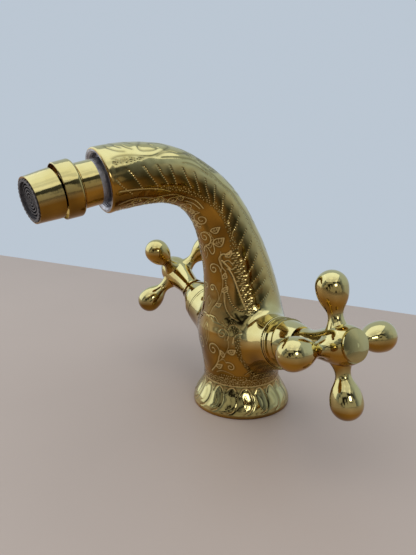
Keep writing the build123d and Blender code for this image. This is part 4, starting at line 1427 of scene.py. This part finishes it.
@dataclass(frozen=True)
class Ornament:
    """The engraved design: scrolls, leaves, punched rows and stippled borders.

    Each line is a list of stations in millimetres and angles in degrees from the front.
    """

    rows: tuple = (
        ((58.0, 84.5), (60.8, 102)), ((63.4, 80.5), (67.4, 103)), ((68.4, 78), (73.0, 106)),
        ((72.8, 73), (74.4, 79.5), (80.0, 103)), ((80.0, 75), (82.4, 83.5), (86.4, 101.5)),
        ((86.8, 72.5), (88.6, 78), (92.6, 103)), ((93.0, 69.5), (95.4, 77), (99.6, 101.5)),
        ((99.2, 72), (102.2, 81), (105.2, 102.5)), ((106.6, 74), (110.2, 92), (111.4, 105.5)),
        ((112.2, 74), (115.6, 91), (117.0, 106)), ((116.6, 76), (120.0, 88), (122.6, 105.5)),
        ((122.6, 75), (126.2, 92), (128.4, 106.5)), ((127.6, 75), (131.6, 90.5), (134.2, 107)),
        ((136.2, 75.5), (138.6, 93.5), (140.0, 107)), ((140.6, 74.5), (144.0, 92.5), (145.6, 107.5)),
        ((145.6, 71), (149.4, 91), (151.6, 106.5)), ((153.2, 71.5), (156.2, 90.5), (158.2, 103.5)),
        ((157.8, 63), (162.2, 81), (163.8, 93)),
    )
    band_inner: tuple = (
        (54, 61), (58.6, 60), (63.4, 57), (69.4, 54.5), (76.6, 53), (81.2, 54), (86.8, 58), (92.2, 64),
        (97.8, 66), (104.2, 68), (111.8, 67), (120, 63), (128, 60), (138, 61), (148, 62),
    )
    band_outer: tuple = (
        (54, 72), (58.8, 72), (62.8, 72.5), (68.4, 72), (74, 71), (79.8, 71), (85.2, 71.5), (90.8, 73),
        (96.4, 75), (103, 77), (110.4, 78), (118, 74), (126, 71), (138, 70), (148, 66),
    )
    beaded: tuple = (
        ((72, 37), (67.2, 36.5), (64, 38.5), (60.6, 41), (58.4, 45), (56.4, 50.5), (55.6, 57),
         (56.6, 62.5)),
    )
    bold: tuple = (
        ((77.8, 46.5), (73.4, 51), (66.6, 54.5), (60.6, 58.5), (55.8, 63)),
        ((83, 38), (80.4, 43.5), (78.2, 48.5)), ((86, 38.5), (86.2, 44), (85.4, 53), (86.8, 58)),
    )
    stems: tuple = (
        ((66, 28), (64.6, 32.5), (59.2, 32), (55, 36), (52, 42.5), (50.5, 50)),
        ((78.2, 43.5), (77.6, 50), (77.6, 55)), ((82.2, 41.5), (82.4, 49.5), (79.6, 55)),
        ((86, 38.5), (84, 33), (80, 34.5), (77, 40)),
        ((164, 44), (158, 50), (152, 48), (146, 42), (140, 46), (134, 51), (128, 50), (121, 53),
         (114.5, 50)),
        ((164.2, 72.5), (159.2, 71), (153.4, 69), (147, 66), (138, 58)),
        ((163.6, 8), (157, 6), (152, 12), (149, 20)),
        ((88, 0), (91, 6), (90.4, 14), (87, 20), (88.6, 28), (92.6, 30)),
        ((126, 40), (121, 43), (115.5, 43.5)),
    )
    volutes: tuple = (
        (96.6, 13.0, 4.8, 190, -1.5), (108.6, 27.0, 5.2, 20, -1.6), (107.0, 7.0, 3.6, 150, 1.3),
        (121.0, 24.0, 5.0, 200, 1.5), (133.6, 31.0, 5.2, 10, -1.6), (146.4, 30.0, 4.8, 200, 1.5),
        (158.0, 30.0, 4.6, 10, -1.5), (133.0, 9.0, 3.6, 170, 1.4), (144.0, 9.0, 3.2, 30, -1.3),
        (119.4, 7.0, 2.8, 0, -1.2),
    )
    leaves: tuple = (
        (92.8, 30.0, 6.2, 4.4, 78, 3), (99.6, 34.0, 5.0, 3.2, 84, 2), (114.4, 14.0, 4.6, 2.4, 30, 1),
        (127.6, 40.0, 5.0, 2.6, 10, 1), (140.0, 38.0, 4.6, 2.4, -20, 1), (152.4, 40.0, 4.6, 2.4, 5, 1),
        (84.6, 46.0, 4.2, 2.2, 60, 1),
    )
    trunk_bright: tuple = (
        ((50.6, -3.5), (51.4, 6.5), (51.0, 15), (49.6, 19), (48.2, 22.5)),
        ((20.6, 7), (23.6, 15), (26.6, 20.5), (29.6, 23.6)),
        ((44.6, 54.5), (43.6, 49.5), (41.4, 45.5), (38.8, 44.5)),
        ((45.8, 37.5), (47.4, 40), (48.2, 45.5), (47, 51), (45.6, 53.5)),
        ((20.8, 71.5), (22.2, 77), (23.2, 86.5)),
    )
    trunk_fine: tuple = (
        ((50.4, 3), (53, 6), (56, 10)),
        ((67.2, 31.5), (62.6, 30.5), (58.8, 31.5), (55.6, 34.5), (53.6, 38.5), (51.6, 41.5), (51, 47)),
        ((49.2, 28.5), (47, 32), (42.8, 34), (39.8, 34)),
        ((26, 19.5), (29.4, 28.6), (33.2, 35.4), (37, 39), (39.8, 38.4)),
        ((28.4, 26.4), (29, 30.6), (27.6, 34)), ((34, 0), (38.6, 5.4), (43.4, 5), (47.6, 0)),
        ((37, 0), (40.2, 2.6), (43.6, 0)), ((21, 17), (22.4, 26), (22, 36), (20.8, 45)),
        ((43.8, 41), (46.8, 34), (48, 25), (48.6, 15), (50.4, 8)),
        ((21.6, 60), (24.2, 66), (25.4, 74), (23.4, 80)), ((27.8, 64), (30, 72), (29.2, 80)),
    )
    trunk_volutes: tuple = ((33, 14, 4.8, 135, -1.4), (42.6, 29, 4.0, 130, -1.4), (25.4, 40, 2.9, -45, 1.3))
    trunk_leaves: tuple = (
        (33.6, 38, 4.2, 2.4, 62, 2), (24, 17, 4.2, 2.2, 66, 1), (30, 30.5, 4.0, 2.2, -20, 1),
    )
    throat: tuple = (
        ((56, 10), (60.5, 20), (66, 27.5), (72, 32), (77.1, 31.4)), ((61, 21), (64.5, 21.5), (67, 18.8)),
        ((87.8, 40), (83.4, 36), (80, 35), (77, 31.6)), ((84, 0), (86.4, 8), (89.4, 8), (92.6, 0)),
        ((56.4, 0), (59.6, 5.4), (62.6, 0)),
    )
    throat_volutes: tuple = ((78.5, 17, 4.0, 110, -1.4), (67.5, 9, 2.6, 100, -1.2))
    throat_leaves: tuple = (
        (66, 28, 4.4, 2.4, 50, 2), (73, 32.4, 3.8, 2.2, 30, 1), (58, 15, 3.8, 2.0, 70, 1),
    )
    crown: tuple = (
        ((163.2, 128), (160.6, 131), (157, 130.5), (153.8, 128.5), (151.2, 126), (147.4, 125),
         (144.2, 130), (141.2, 140.5), (138.6, 152.5), (139.6, 162), (143, 166), (145.6, 160),
         (144.6, 153)),
        ((148.4, 169.5), (150.8, 149), (150.6, 139), (148.4, 137.5), (145.4, 139), (143, 146)),
        ((145, 125), (141.2, 134.5), (138, 140), (135.2, 139.5), (131.4, 148), (131, 158), (134, 165)),
        ((142.8, 122), (138.6, 125), (134.2, 129.5), (130.2, 134), (127.2, 132.5), (125, 129.5)),
        ((156.2, 158.5), (155.4, 149.5), (153.6, 143)), ((160, 176.5), (159.4, 161), (157.6, 150)),
        ((154.8, 172), (153, 164), (151.6, 158)), ((162.6, 168), (162, 155), (160, 144), (157, 139)),
        ((133, 147), (130, 154), (126, 156), (121, 154), (116, 150)),
        ((134.2, 117), (131.4, 121), (127, 121), (122, 117)),
    )
    crown_hatches: tuple = (
        (((60, 114), (125, 116)), ((60, 119), (90, 121), (125, 127)), 1.2),
        (((150.6, 120), (156, 116.5), (164, 116)), ((150.6, 122.5), (156, 127), (163.6, 125.5)), 0.95),
        (((119, 134), (126, 138), (133, 139)), ((119, 149), (126, 153), (132, 146)), 1.15),
    )
    border: tuple = (
        (60, 122), (66, 119), (72, 124), (78, 119.5), (84, 124), (90, 120), (96, 125), (102, 121),
        (108, 126), (114, 122), (120, 128), (125, 129.5),
    )
    sprig: tuple = (
        ((0, 178), (2.6, 168), (6.4, 163), (9.4, 156), (8.4, 146), (5, 143), (3.4, 149), (5.4, 154)),
        ((4, 172), (7.6, 174), (10, 180)), ((6.8, 158), (10.4, 160), (12.4, 168)),
        ((2, 160), (0.4, 150), (1.4, 140), (4, 134)),
    )
    petal: tuple = ((10.8, 0), (13.2, 4), (13.4, 10.5), (10.4, 15.5), (6.6, 16.5), (3.5, 12.5), (2.2, 7))
    petal_vein: tuple = ((10.2, 6.5), (8, 9.5), (5.6, 9), (4.4, 4.5))
    petals: int = 18
    petal_start: float = -6.0
    foot_border: tuple = (14.6, 18.2)
    scallops: int = 36
    sprig_stations: tuple = (62.0, 76.0, 90.0, 104.0, 117.0)
    boss_border: tuple = (
        (20.4, 70.5), (25.8, 61), (32.4, 50.5), (37, 48), (42, 46.5), (47.8, 41.5), (53.8, 37),
    )
    border_width: float = 6.0
    trunk_hatches: tuple = (
        (((18.8, 62), (21, 66), (24.4, 72)), ((18.8, 96), (21, 94), (24.4, 90)), 0.7),
        (((18.8, 20), (20.8, 24)), ((18.8, 62), (20.8, 66)), 0.5),
    )
    # Painted shade: strips darkened to stand for shadows and dark reflections.
    shadows: tuple = (
        (((56.4, 50), (58, 46), (62, 46), (66, 48), (71, 51)), ((56.4, 62), (60, 59), (66, 57), (71, 54)),
         1.0),
        (((60, 32), (70, 33), (80, 35), (90, 36)), ((60, 40), (70, 37), (80, 41), (90, 45)), 0.6),
        (((43.2, 44), (47.6, 43)), ((43.2, 54), (47.6, 53)), 0.97),
        (((48.4, 28), (50, 29), (53, 42)), ((48.4, 50), (50, 60), (53, 62)), 0.85),
        (((88, 22), (100, 20), (118, 30)), ((88, 34), (100, 36), (118, 40)), 0.5),
    )
    flute_span: tuple = (70.0, 112.0)
    flute_depth: float = 0.06
    punch_gap: float = 1.25
    bead_gap: float = 1.2
    hatch_gap: float = 1.2
    trunk_hatch_gap: float = 1.25
    foot_hatch_gap: float = 0.9
    band_turn: int = 6
    band_dash: float = 1.1
    band_grounds: tuple = (0.75, 0.45)
    border_ground: float = 0.75
    petal_span: tuple = (1.6, 13.8)
    petal_slant: float = 8.0
    petal_depth: float = 0.20
    scallop_rise: tuple = (0.7, 0.2)
    foot_hatch_inset: tuple = (0.6, 0.9)

    def cut(self, sheet: EngravingSheet) -> None:
        """Engraves the whole design.

        Args:
            sheet: The sheet to cut.
        """
        sheet.flutes(self.rows, *self.flute_span, self.flute_depth)
        for shadow in self.shadows:
            sheet.shade(*shadow)
        sheet.strokes(self.rows, Cut.PUNCH, gap=self.punch_gap)
        sheet.strokes(self.beaded, Cut.BEAD, gap=self.bead_gap)
        for lines, cut, folds in (
            (self.bold, Cut.BOLD, SIDES),
            (self.stems, Cut.LINE, SIDES),
            ((*self.throat, *self.crown, self.border), Cut.FINE, SIDES),
            (self.trunk_bright, Cut.LINE, ALL_ROUND),
            (self.trunk_fine, Cut.FINE, ALL_ROUND),
        ):
            sheet.strokes(lines, cut, folds)
        for volutes, leaves, folds, lobes in (
            (self.volutes, self.leaves, SIDES, len(sheet.scroll.lobes)),
            (self.trunk_volutes, self.trunk_leaves, ALL_ROUND, 0),
            (self.throat_volutes, self.throat_leaves, SIDES, 0),
        ):
            for motif in volutes:
                sheet.volute(*motif, folds, lobes)
            for motif in leaves:
                sheet.leaf(*motif, folds)
        for station in self.sprig_stations:
            sheet.strokes([[(station + s, a) for s, a in line] for line in self.sprig], Cut.FINE)
        self._hatches(sheet)
        self._foot(sheet)

    def _hatches(self, sheet: EngravingSheet) -> None:
        """Punches the grounds: the long band, the crown, the bosses' borders and the trunk.

        Args:
            sheet: The sheet to cut.
        """
        turn, dashed, dotted = self.band_turn, *self.band_grounds
        inner, outer, gap = self.band_inner, self.band_outer, self.hatch_gap
        sheet.hatch(inner[: turn + 1], outer[: turn + 1], gap, self.band_dash, ground=dashed)
        sheet.hatch(inner[turn:], outer[turn:], gap, ground=dotted)
        for strip in self.crown_hatches:
            sheet.hatch(*strip)
        rim = [(station, angle + self.border_width) for station, angle in self.boss_border]
        sheet.hatch(self.boss_border, rim, gap, folds=ALL_ROUND, ground=self.border_ground)
        for left, right, ground in self.trunk_hatches:
            sheet.hatch(left, right, self.trunk_hatch_gap, folds=ALL_ROUND, ground=ground)

    def _foot(self, sheet: EngravingSheet) -> None:
        """Cuts the petals and the stippled, scalloped border round the foot.

        Args:
            sheet: The sheet to cut.
        """
        once = (Fold.DRAWN,)
        sheet.gadroons(self.petals, self.petal_start, *self.petal_span, self.petal_slant, self.petal_depth)
        for turn in (self.petal_start + 360 / self.petals * index for index in range(self.petals)):
            for line, cut in ((self.petal, Cut.BOLD), (self.petal_vein, Cut.FINE)):
                sheet.stroke([(s, a + turn) for s, a in line], cut, once)
        low, high = self.foot_border
        sheet.stroke([(low, angle) for angle in range(0, 361, 10)], Cut.LINE, once)
        step, (drop, rise) = 360 / self.scallops, self.scallop_rise
        for turn in (step * index for index in range(self.scallops)):
            arch = [(high - drop, turn), (high + rise, turn + step / 2), (high - drop, turn + step)]
            sheet.stroke(arch, Cut.FINE, once)
        low, high = low + self.foot_hatch_inset[0], high - self.foot_hatch_inset[1]
        edges = (((low, angle), (high, angle)) for angle in (0, 360))
        sheet.hatch(*edges, self.foot_hatch_gap, folds=once)


@dataclass
class EngravedBody:
    """The body as it shows: its engraved skin in a lower and an upper piece."""

    material: Material
    casting: Casting = field(default_factory=Casting)
    ornament: Ornament = field(default_factory=Ornament)
    seam_station: float = 75.0
    seam_above: float = 40.0
    tarnish: tuple = (0.8, 0.55, 0.07)
    ripple: tuple = (40, 3.4, 9.0, 0.022)
    proud_middle: float = 0.5
    proud_reach: float = 4.5
    proud_least: float = -0.3
    fade_gain: float = 2.2
    plain_rim: float = 1.6
    mouth_fade: float = 1.5
    foot_fade: float = 0.8
    full_cut: float = 0.2

    def build(self) -> None:
        """Makes the pieces that stand for the casting."""
        points, quads, caps = self.casting.mesh()
        points, marks = self._engrave(points, self._normals(points, quads))
        normals = self._normals(points, quads)
        station, _ = self.casting.sheet_place(points)
        rings = self.casting.stations()
        seam = rings[np.searchsorted(rings, self.seam_station)]
        above = (station[quads].mean(axis=1) > seam) & (points[quads, 2].mean(axis=1) > self.seam_above)
        border = self._border(quads, above)
        pieces = ("engraved_trunk", ~above, border), ("engraved_spout", above, border[::-1])
        for name, part, closing in pieces:
            rows = quads[part]
            used, local = np.unique(rows, return_inverse=True)
            number = {old: new for new, old in enumerate(used.tolist())}
            faces = local.reshape(-1, 4).tolist() + [[number[c] for c in closing]]
            faces += [[number[c] for c in cap] for cap in caps if cap[0] in number]
            own_marks = {mark: values[used] for mark, values in marks.items()}
            piece = mesh_piece(name, points[used], faces, self.material, own_marks)
            piece.data.normals_split_custom_set_from_vertices(normals[used].tolist())
            hand_over(piece, "faucet_body")

    def _engrave(self, points: Array, normals: Array) -> tuple[Array, dict[str, Array]]:
        """Sinks the design into the skin, fading out on the bosses and inside the pockets.

        Args:
            points: The smooth skin.
            normals: Its outward directions.

        Returns:
            The engraved points and the values that the finish reads.
        """
        sheet = EngravingSheet(self.casting)
        self.ornament.cut(sheet)
        sheet.tarnish(*self.tarnish)
        sheet.ripple(*self.ripple)
        station, angle = self.casting.sheet_place(points)
        centre, _ = self.casting.line.place(station)
        proud = np.linalg.norm(points - centre, axis=1) - self.casting.radius(station)
        near = np.clip(1 - np.abs(proud - self.proud_middle) / self.proud_reach, 0, 1)
        on_skin = np.clip(self.fade_gain * near * (proud > self.proud_least), 0, 1)
        to_mouth = (self.casting.line.end - self.plain_rim - station) / self.mouth_fade
        to_foot = (station - self.plain_rim) / self.foot_fade
        on_skin *= np.clip(to_mouth, 0, 1) * np.clip(to_foot, 0, 1)
        cuts = sheet.sample(sheet.depth, station, angle) * on_skin
        depth = cuts + sheet.sample(sheet.form, station, angle) * on_skin
        patina_and_painted_shade = sheet.sample(sheet.patina_and_painted_shade, station, angle) * on_skin
        marks = dict(zip(MARKS, (patina_and_painted_shade, np.clip(cuts / self.full_cut, 0, 1))))
        return points - normals * depth[:, None], marks

    @staticmethod
    def _border(quads: Array, above: Array) -> list[int]:
        """The ring of corners where the two pieces meet, in the lower piece's closing order.

        Args:
            quads: All quads.
            above: Which of them are in the upper piece.

        Returns:
            Corner numbers in order.
        """
        upper, lower = (
            {pair for quad in quads[part].tolist() for pair in zip(quad, quad[1:] + quad[:1])}
            for part in (above, ~above)
        )
        following = {b: a for a, b in lower if (b, a) in upper}
        start = min(following)
        ring, corner = [start], following[start]
        while corner != start:
            ring.append(corner)
            corner = following[corner]
        return ring

    @staticmethod
    def _normals(points: Array, quads: Array) -> Array:
        """Area-weighted normals of the whole skin, so that no seam shows between its pieces.

        Args:
            points: Corner points, one row each.
            quads: All quads.

        Returns:
            The outward direction at each corner.
        """
        across = points[quads[:, 2]] - points[quads[:, 0]]
        along = points[quads[:, 3]] - points[quads[:, 1]]
        flat = np.cross(across, along)
        total = np.zeros_like(points)
        for corner in range(4):
            np.add.at(total, quads[:, corner], flat)
        return unit(total)


# ---------------------------------------------------------------- turned pieces
def lathe(profile: list[tuple[float, float]], count: int) -> tuple[Array, list[list[int]]]:
    """Turns a closed profile about +Z.

    Args:
        profile: Radii and heights, counter-clockwise as seen with the axis at the left; the loop may
            touch the axis.
        count: Number of steps round.

    Returns:
        Points and faces.
    """
    turns = np.arange(count) * TURN / count
    points, rows = [], []
    for radius, height in profile:
        if radius > 0:
            rows.append(len(points) + np.arange(count))
            points += [(radius * math.cos(turn), radius * math.sin(turn), height) for turn in turns]
        else:
            rows.append(np.full(count, len(points)))
            points.append((0.0, 0.0, height))
    faces = []
    for lower, upper in zip(rows, rows[1:] + rows[:1]):
        for index in range(count):
            beside = (index + 1) % count
            corners = [lower[index], lower[beside], upper[beside], upper[index]]
            corners = [int(c) for place, c in enumerate(corners) if c != corners[place - 1]]
            if len(corners) > 2:
                faces.append(corners)
    return np.array(points), faces


def sharpen(piece: Piece) -> None:
    """Keeps the turned edges crisp."""
    piece.data.shade_smooth()
    piece.data.set_sharp_from_angle(angle=math.radians(CRISP_ANGLE))


def turned_at_outlet(
    name: str, profile: list[tuple[float, float]], count: int, material: Material
) -> Piece:
    """Turns a piece about the outlet's axis, with height 0 at the spout's mouth.

    Args:
        name: The piece's name.
        profile: Radii and heights, as for lathe.
        count: Number of steps round.
        material: What it is made of.

    Returns:
        The piece.
    """
    points, faces = lathe(profile, count)
    centre, directions = SpoutLine().outlet()
    piece = mesh_piece(name, centre + points @ directions, faces, material)
    sharpen(piece)
    return piece


@dataclass
class MachinedFaces:
    """What the plating leaves bare: the threaded mouth of the spout and the underside of the foot."""

    material: Material
    casting: Casting = field(default_factory=Casting)
    mouth_bore: float = 11.5
    thread_depth: float = 10.5
    chamfer: float = 0.9
    waterway: float = 8.8
    thread_pitch: float = 1.0
    thread_rise: float = 0.25
    clearance: float = 0.02
    lining: tuple = ((0.0, 22.9), (16.9, 22.9), (17.9, 14.0), (20.9, 5.0), (24.28, 1.6), (24.28, 0.0))
    recess: float = 20.0
    recess_depth: float = 7.0
    groove: tuple = (22.3, 24.1, 1.4)
    inlets: tuple = ((9.0, 3.0), (-9.0, 3.0))
    inlet_bore: float = 4.46
    inlet_depth: float = 19.0
    stud: tuple = (0.0, -12.0)
    stud_bore: float = 3.4
    stud_depth: float = 20.8
    thread_ribs: float = 1.2
    thread_start: float = 0.6
    drill_point: float = 0.4
    steps: int = 160
    bore_steps: int = 72

    def build(self) -> None:
        """Makes both pieces."""
        for piece in (self._mouth(), self._underside()):
            hand_over(piece, "faucet_body")

    def _mouth(self) -> Piece:
        """A bored and threaded ring inside the end of the spout.

        Returns:
            The piece.
        """
        outer = self.casting.mouth_pocket - self.clearance
        deep = self.casting.mouth_depth - self.clearance
        face = self.mouth_bore + self.chamfer
        profile = [(outer, -deep), (outer, 0.0), (face, 0.0), (self.mouth_bore, -self.chamfer)]
        height, root = -self.chamfer - self.thread_pitch, self.mouth_bore + self.thread_rise
        while height > self.thread_pitch - self.thread_depth:
            profile += [(root, height + self.thread_pitch / 2), (self.mouth_bore, height)]
            height -= self.thread_pitch
        profile += [(self.mouth_bore, -self.thread_depth), (self.waterway, -self.thread_depth)]
        profile += [(self.waterway, -deep)]
        return turned_at_outlet("spout_mouth", profile, self.steps, self.material)

    def _underside(self) -> Piece:
        """The hollow foot with its gasket groove, two hose threads and the fixing stud's thread.

        Returns:
            The piece.
        """
        inner, outer, deep = self.groove
        profile = [(0.0, self.recess_depth), *self.lining, (outer, 0.0), (outer, deep), (inner, deep)]
        profile += [(inner, 0.0), (self.recess, 0.0), (self.recess, self.recess_depth)]
        points, faces = lathe(profile[::-1], self.steps)
        piece = mesh_piece("foot_underside", points, faces, self.material)
        holes = [(place, self.inlet_bore, self.inlet_depth) for place in self.inlets]
        holes.append((self.stud, self.stud_bore, self.stud_depth))
        for (x, y), bore, top in holes:
            cutter = self._bore(x, y, bore, top)
            cut = piece.modifiers.new("bore", "BOOLEAN")
            cut.operation, cut.solver, cut.object = "DIFFERENCE", "MANIFOLD", cutter
            mesh = bpy.data.meshes.new_from_object(piece.evaluated_get(bpy.context.evaluated_depsgraph_get()))
            piece.modifiers.clear()
            piece.data = mesh
            bpy.data.objects.remove(cutter)
        piece.data.name = piece.name
        sharpen(piece)
        return piece

    def _bore(self, x: float, y: float, bore: float, top: float) -> Piece:
        """A blind threaded hole's shape, pointed like a drill's.

        Args:
            x: Place in millimetres.
            y: Place in millimetres.
            bore: Radius.
            top: Height of its end.

        Returns:
            The cutter.
        """
        below = 1.0
        profile, height = [(0.0, below), (bore, below)], self.recess_depth + self.thread_start
        while height < top - self.thread_ribs:
            profile += [(bore, height), (bore - self.thread_rise, height + self.thread_ribs / 2)]
            height += self.thread_ribs
        profile += [(bore, top), (0.0, top + bore * self.drill_point)]
        points, faces = lathe(profile, self.bore_steps)
        return mesh_piece("cutter", points + np.array([x, y, 0.0]), faces, self.material)


@dataclass
class SwivelRing:
    """The ring nut over the ball joint: a plain band with a rounded shoulder."""

    material: Material
    start: float = 9.9
    end: float = 17.4
    root: float = 10.15
    band: float = 11.85
    edge: float = 11.65
    shoulder: float = 1.5
    lip_round: float = 0.25
    mouth: float = 11.15
    lip_at: float = 14.7
    ball_at: float = 12.8
    ball: float = 7.9
    thread: float = 9.1
    seat_steps: int = 8
    steps: int = 192

    def build(self) -> None:
        """Makes the ring with its threaded back, spherical seat and open mouth."""
        shoulder, seat = [], []
        for degrees in range(0, 91, 10):
            turn = math.radians(degrees)
            out = self.root + (self.band - self.root) * math.sin(turn)
            shoulder.append((out, self.start + self.shoulder * (1 - math.cos(turn))))
        seat_end = math.asin((self.lip_at - self.ball_at) / self.ball)
        for step in range(self.seat_steps, -1, -1):
            turn = seat_end * step / self.seat_steps
            seat.append((self.ball * math.cos(turn), self.ball_at + self.ball * math.sin(turn)))
        profile = [(self.thread, self.start), *shoulder, (self.edge, self.end - self.lip_round)]
        profile += [(self.edge - self.lip_round, self.end), (self.mouth, self.end), (self.mouth, self.lip_at)]
        profile += [*seat, (self.thread, self.ball_at)]
        piece = turned_at_outlet("ring_nut", profile, self.steps, self.material)
        hand_over(piece, "swivel_ring_nut")


def dress_frame(materials: dict[Slot, Material]) -> None:
    """Gives every solid of the part its finish.

    Args:
        materials: The material of each slot.
    """
    slots = {row["node"]: row["material_slot"] for row in frame["record"]["subparts"]}
    centre, directions = SpoutLine().outlet()
    socket = dataclasses.replace(
        FINISHES[Slot.GOLD],
        name="socket_plating",
        bare_below=SOCKET_COLLAR,
        axis_place=tuple(float(c) * MM for c in centre[0]),
        axis=tuple(float(c) for c in directions[2]),
    ).build()
    for name, solid in frame["nodes"].items():
        solid.data.materials.clear()
        solid.data.materials.append(socket if name == "swivel_socket" else materials[Slot(slots[name])])
    LOG.info("dressed %d solids", len(frame["nodes"]))


def main() -> None:
    """Builds the studio and every dressed piece."""
    logging.basicConfig(level=logging.INFO, format="%(message)s")
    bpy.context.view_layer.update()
    Studio().build()
    materials = {slot: finish.build() for slot, finish in FINISHES.items()}
    dress_frame(materials)
    EngravedBody(materials[Slot.ENGRAVED]).build()
    MachinedFaces(BARE_CASTING.build()).build()
    SwivelRing(materials[Slot.GOLD]).build()


if __name__ == "__main__":
    main()
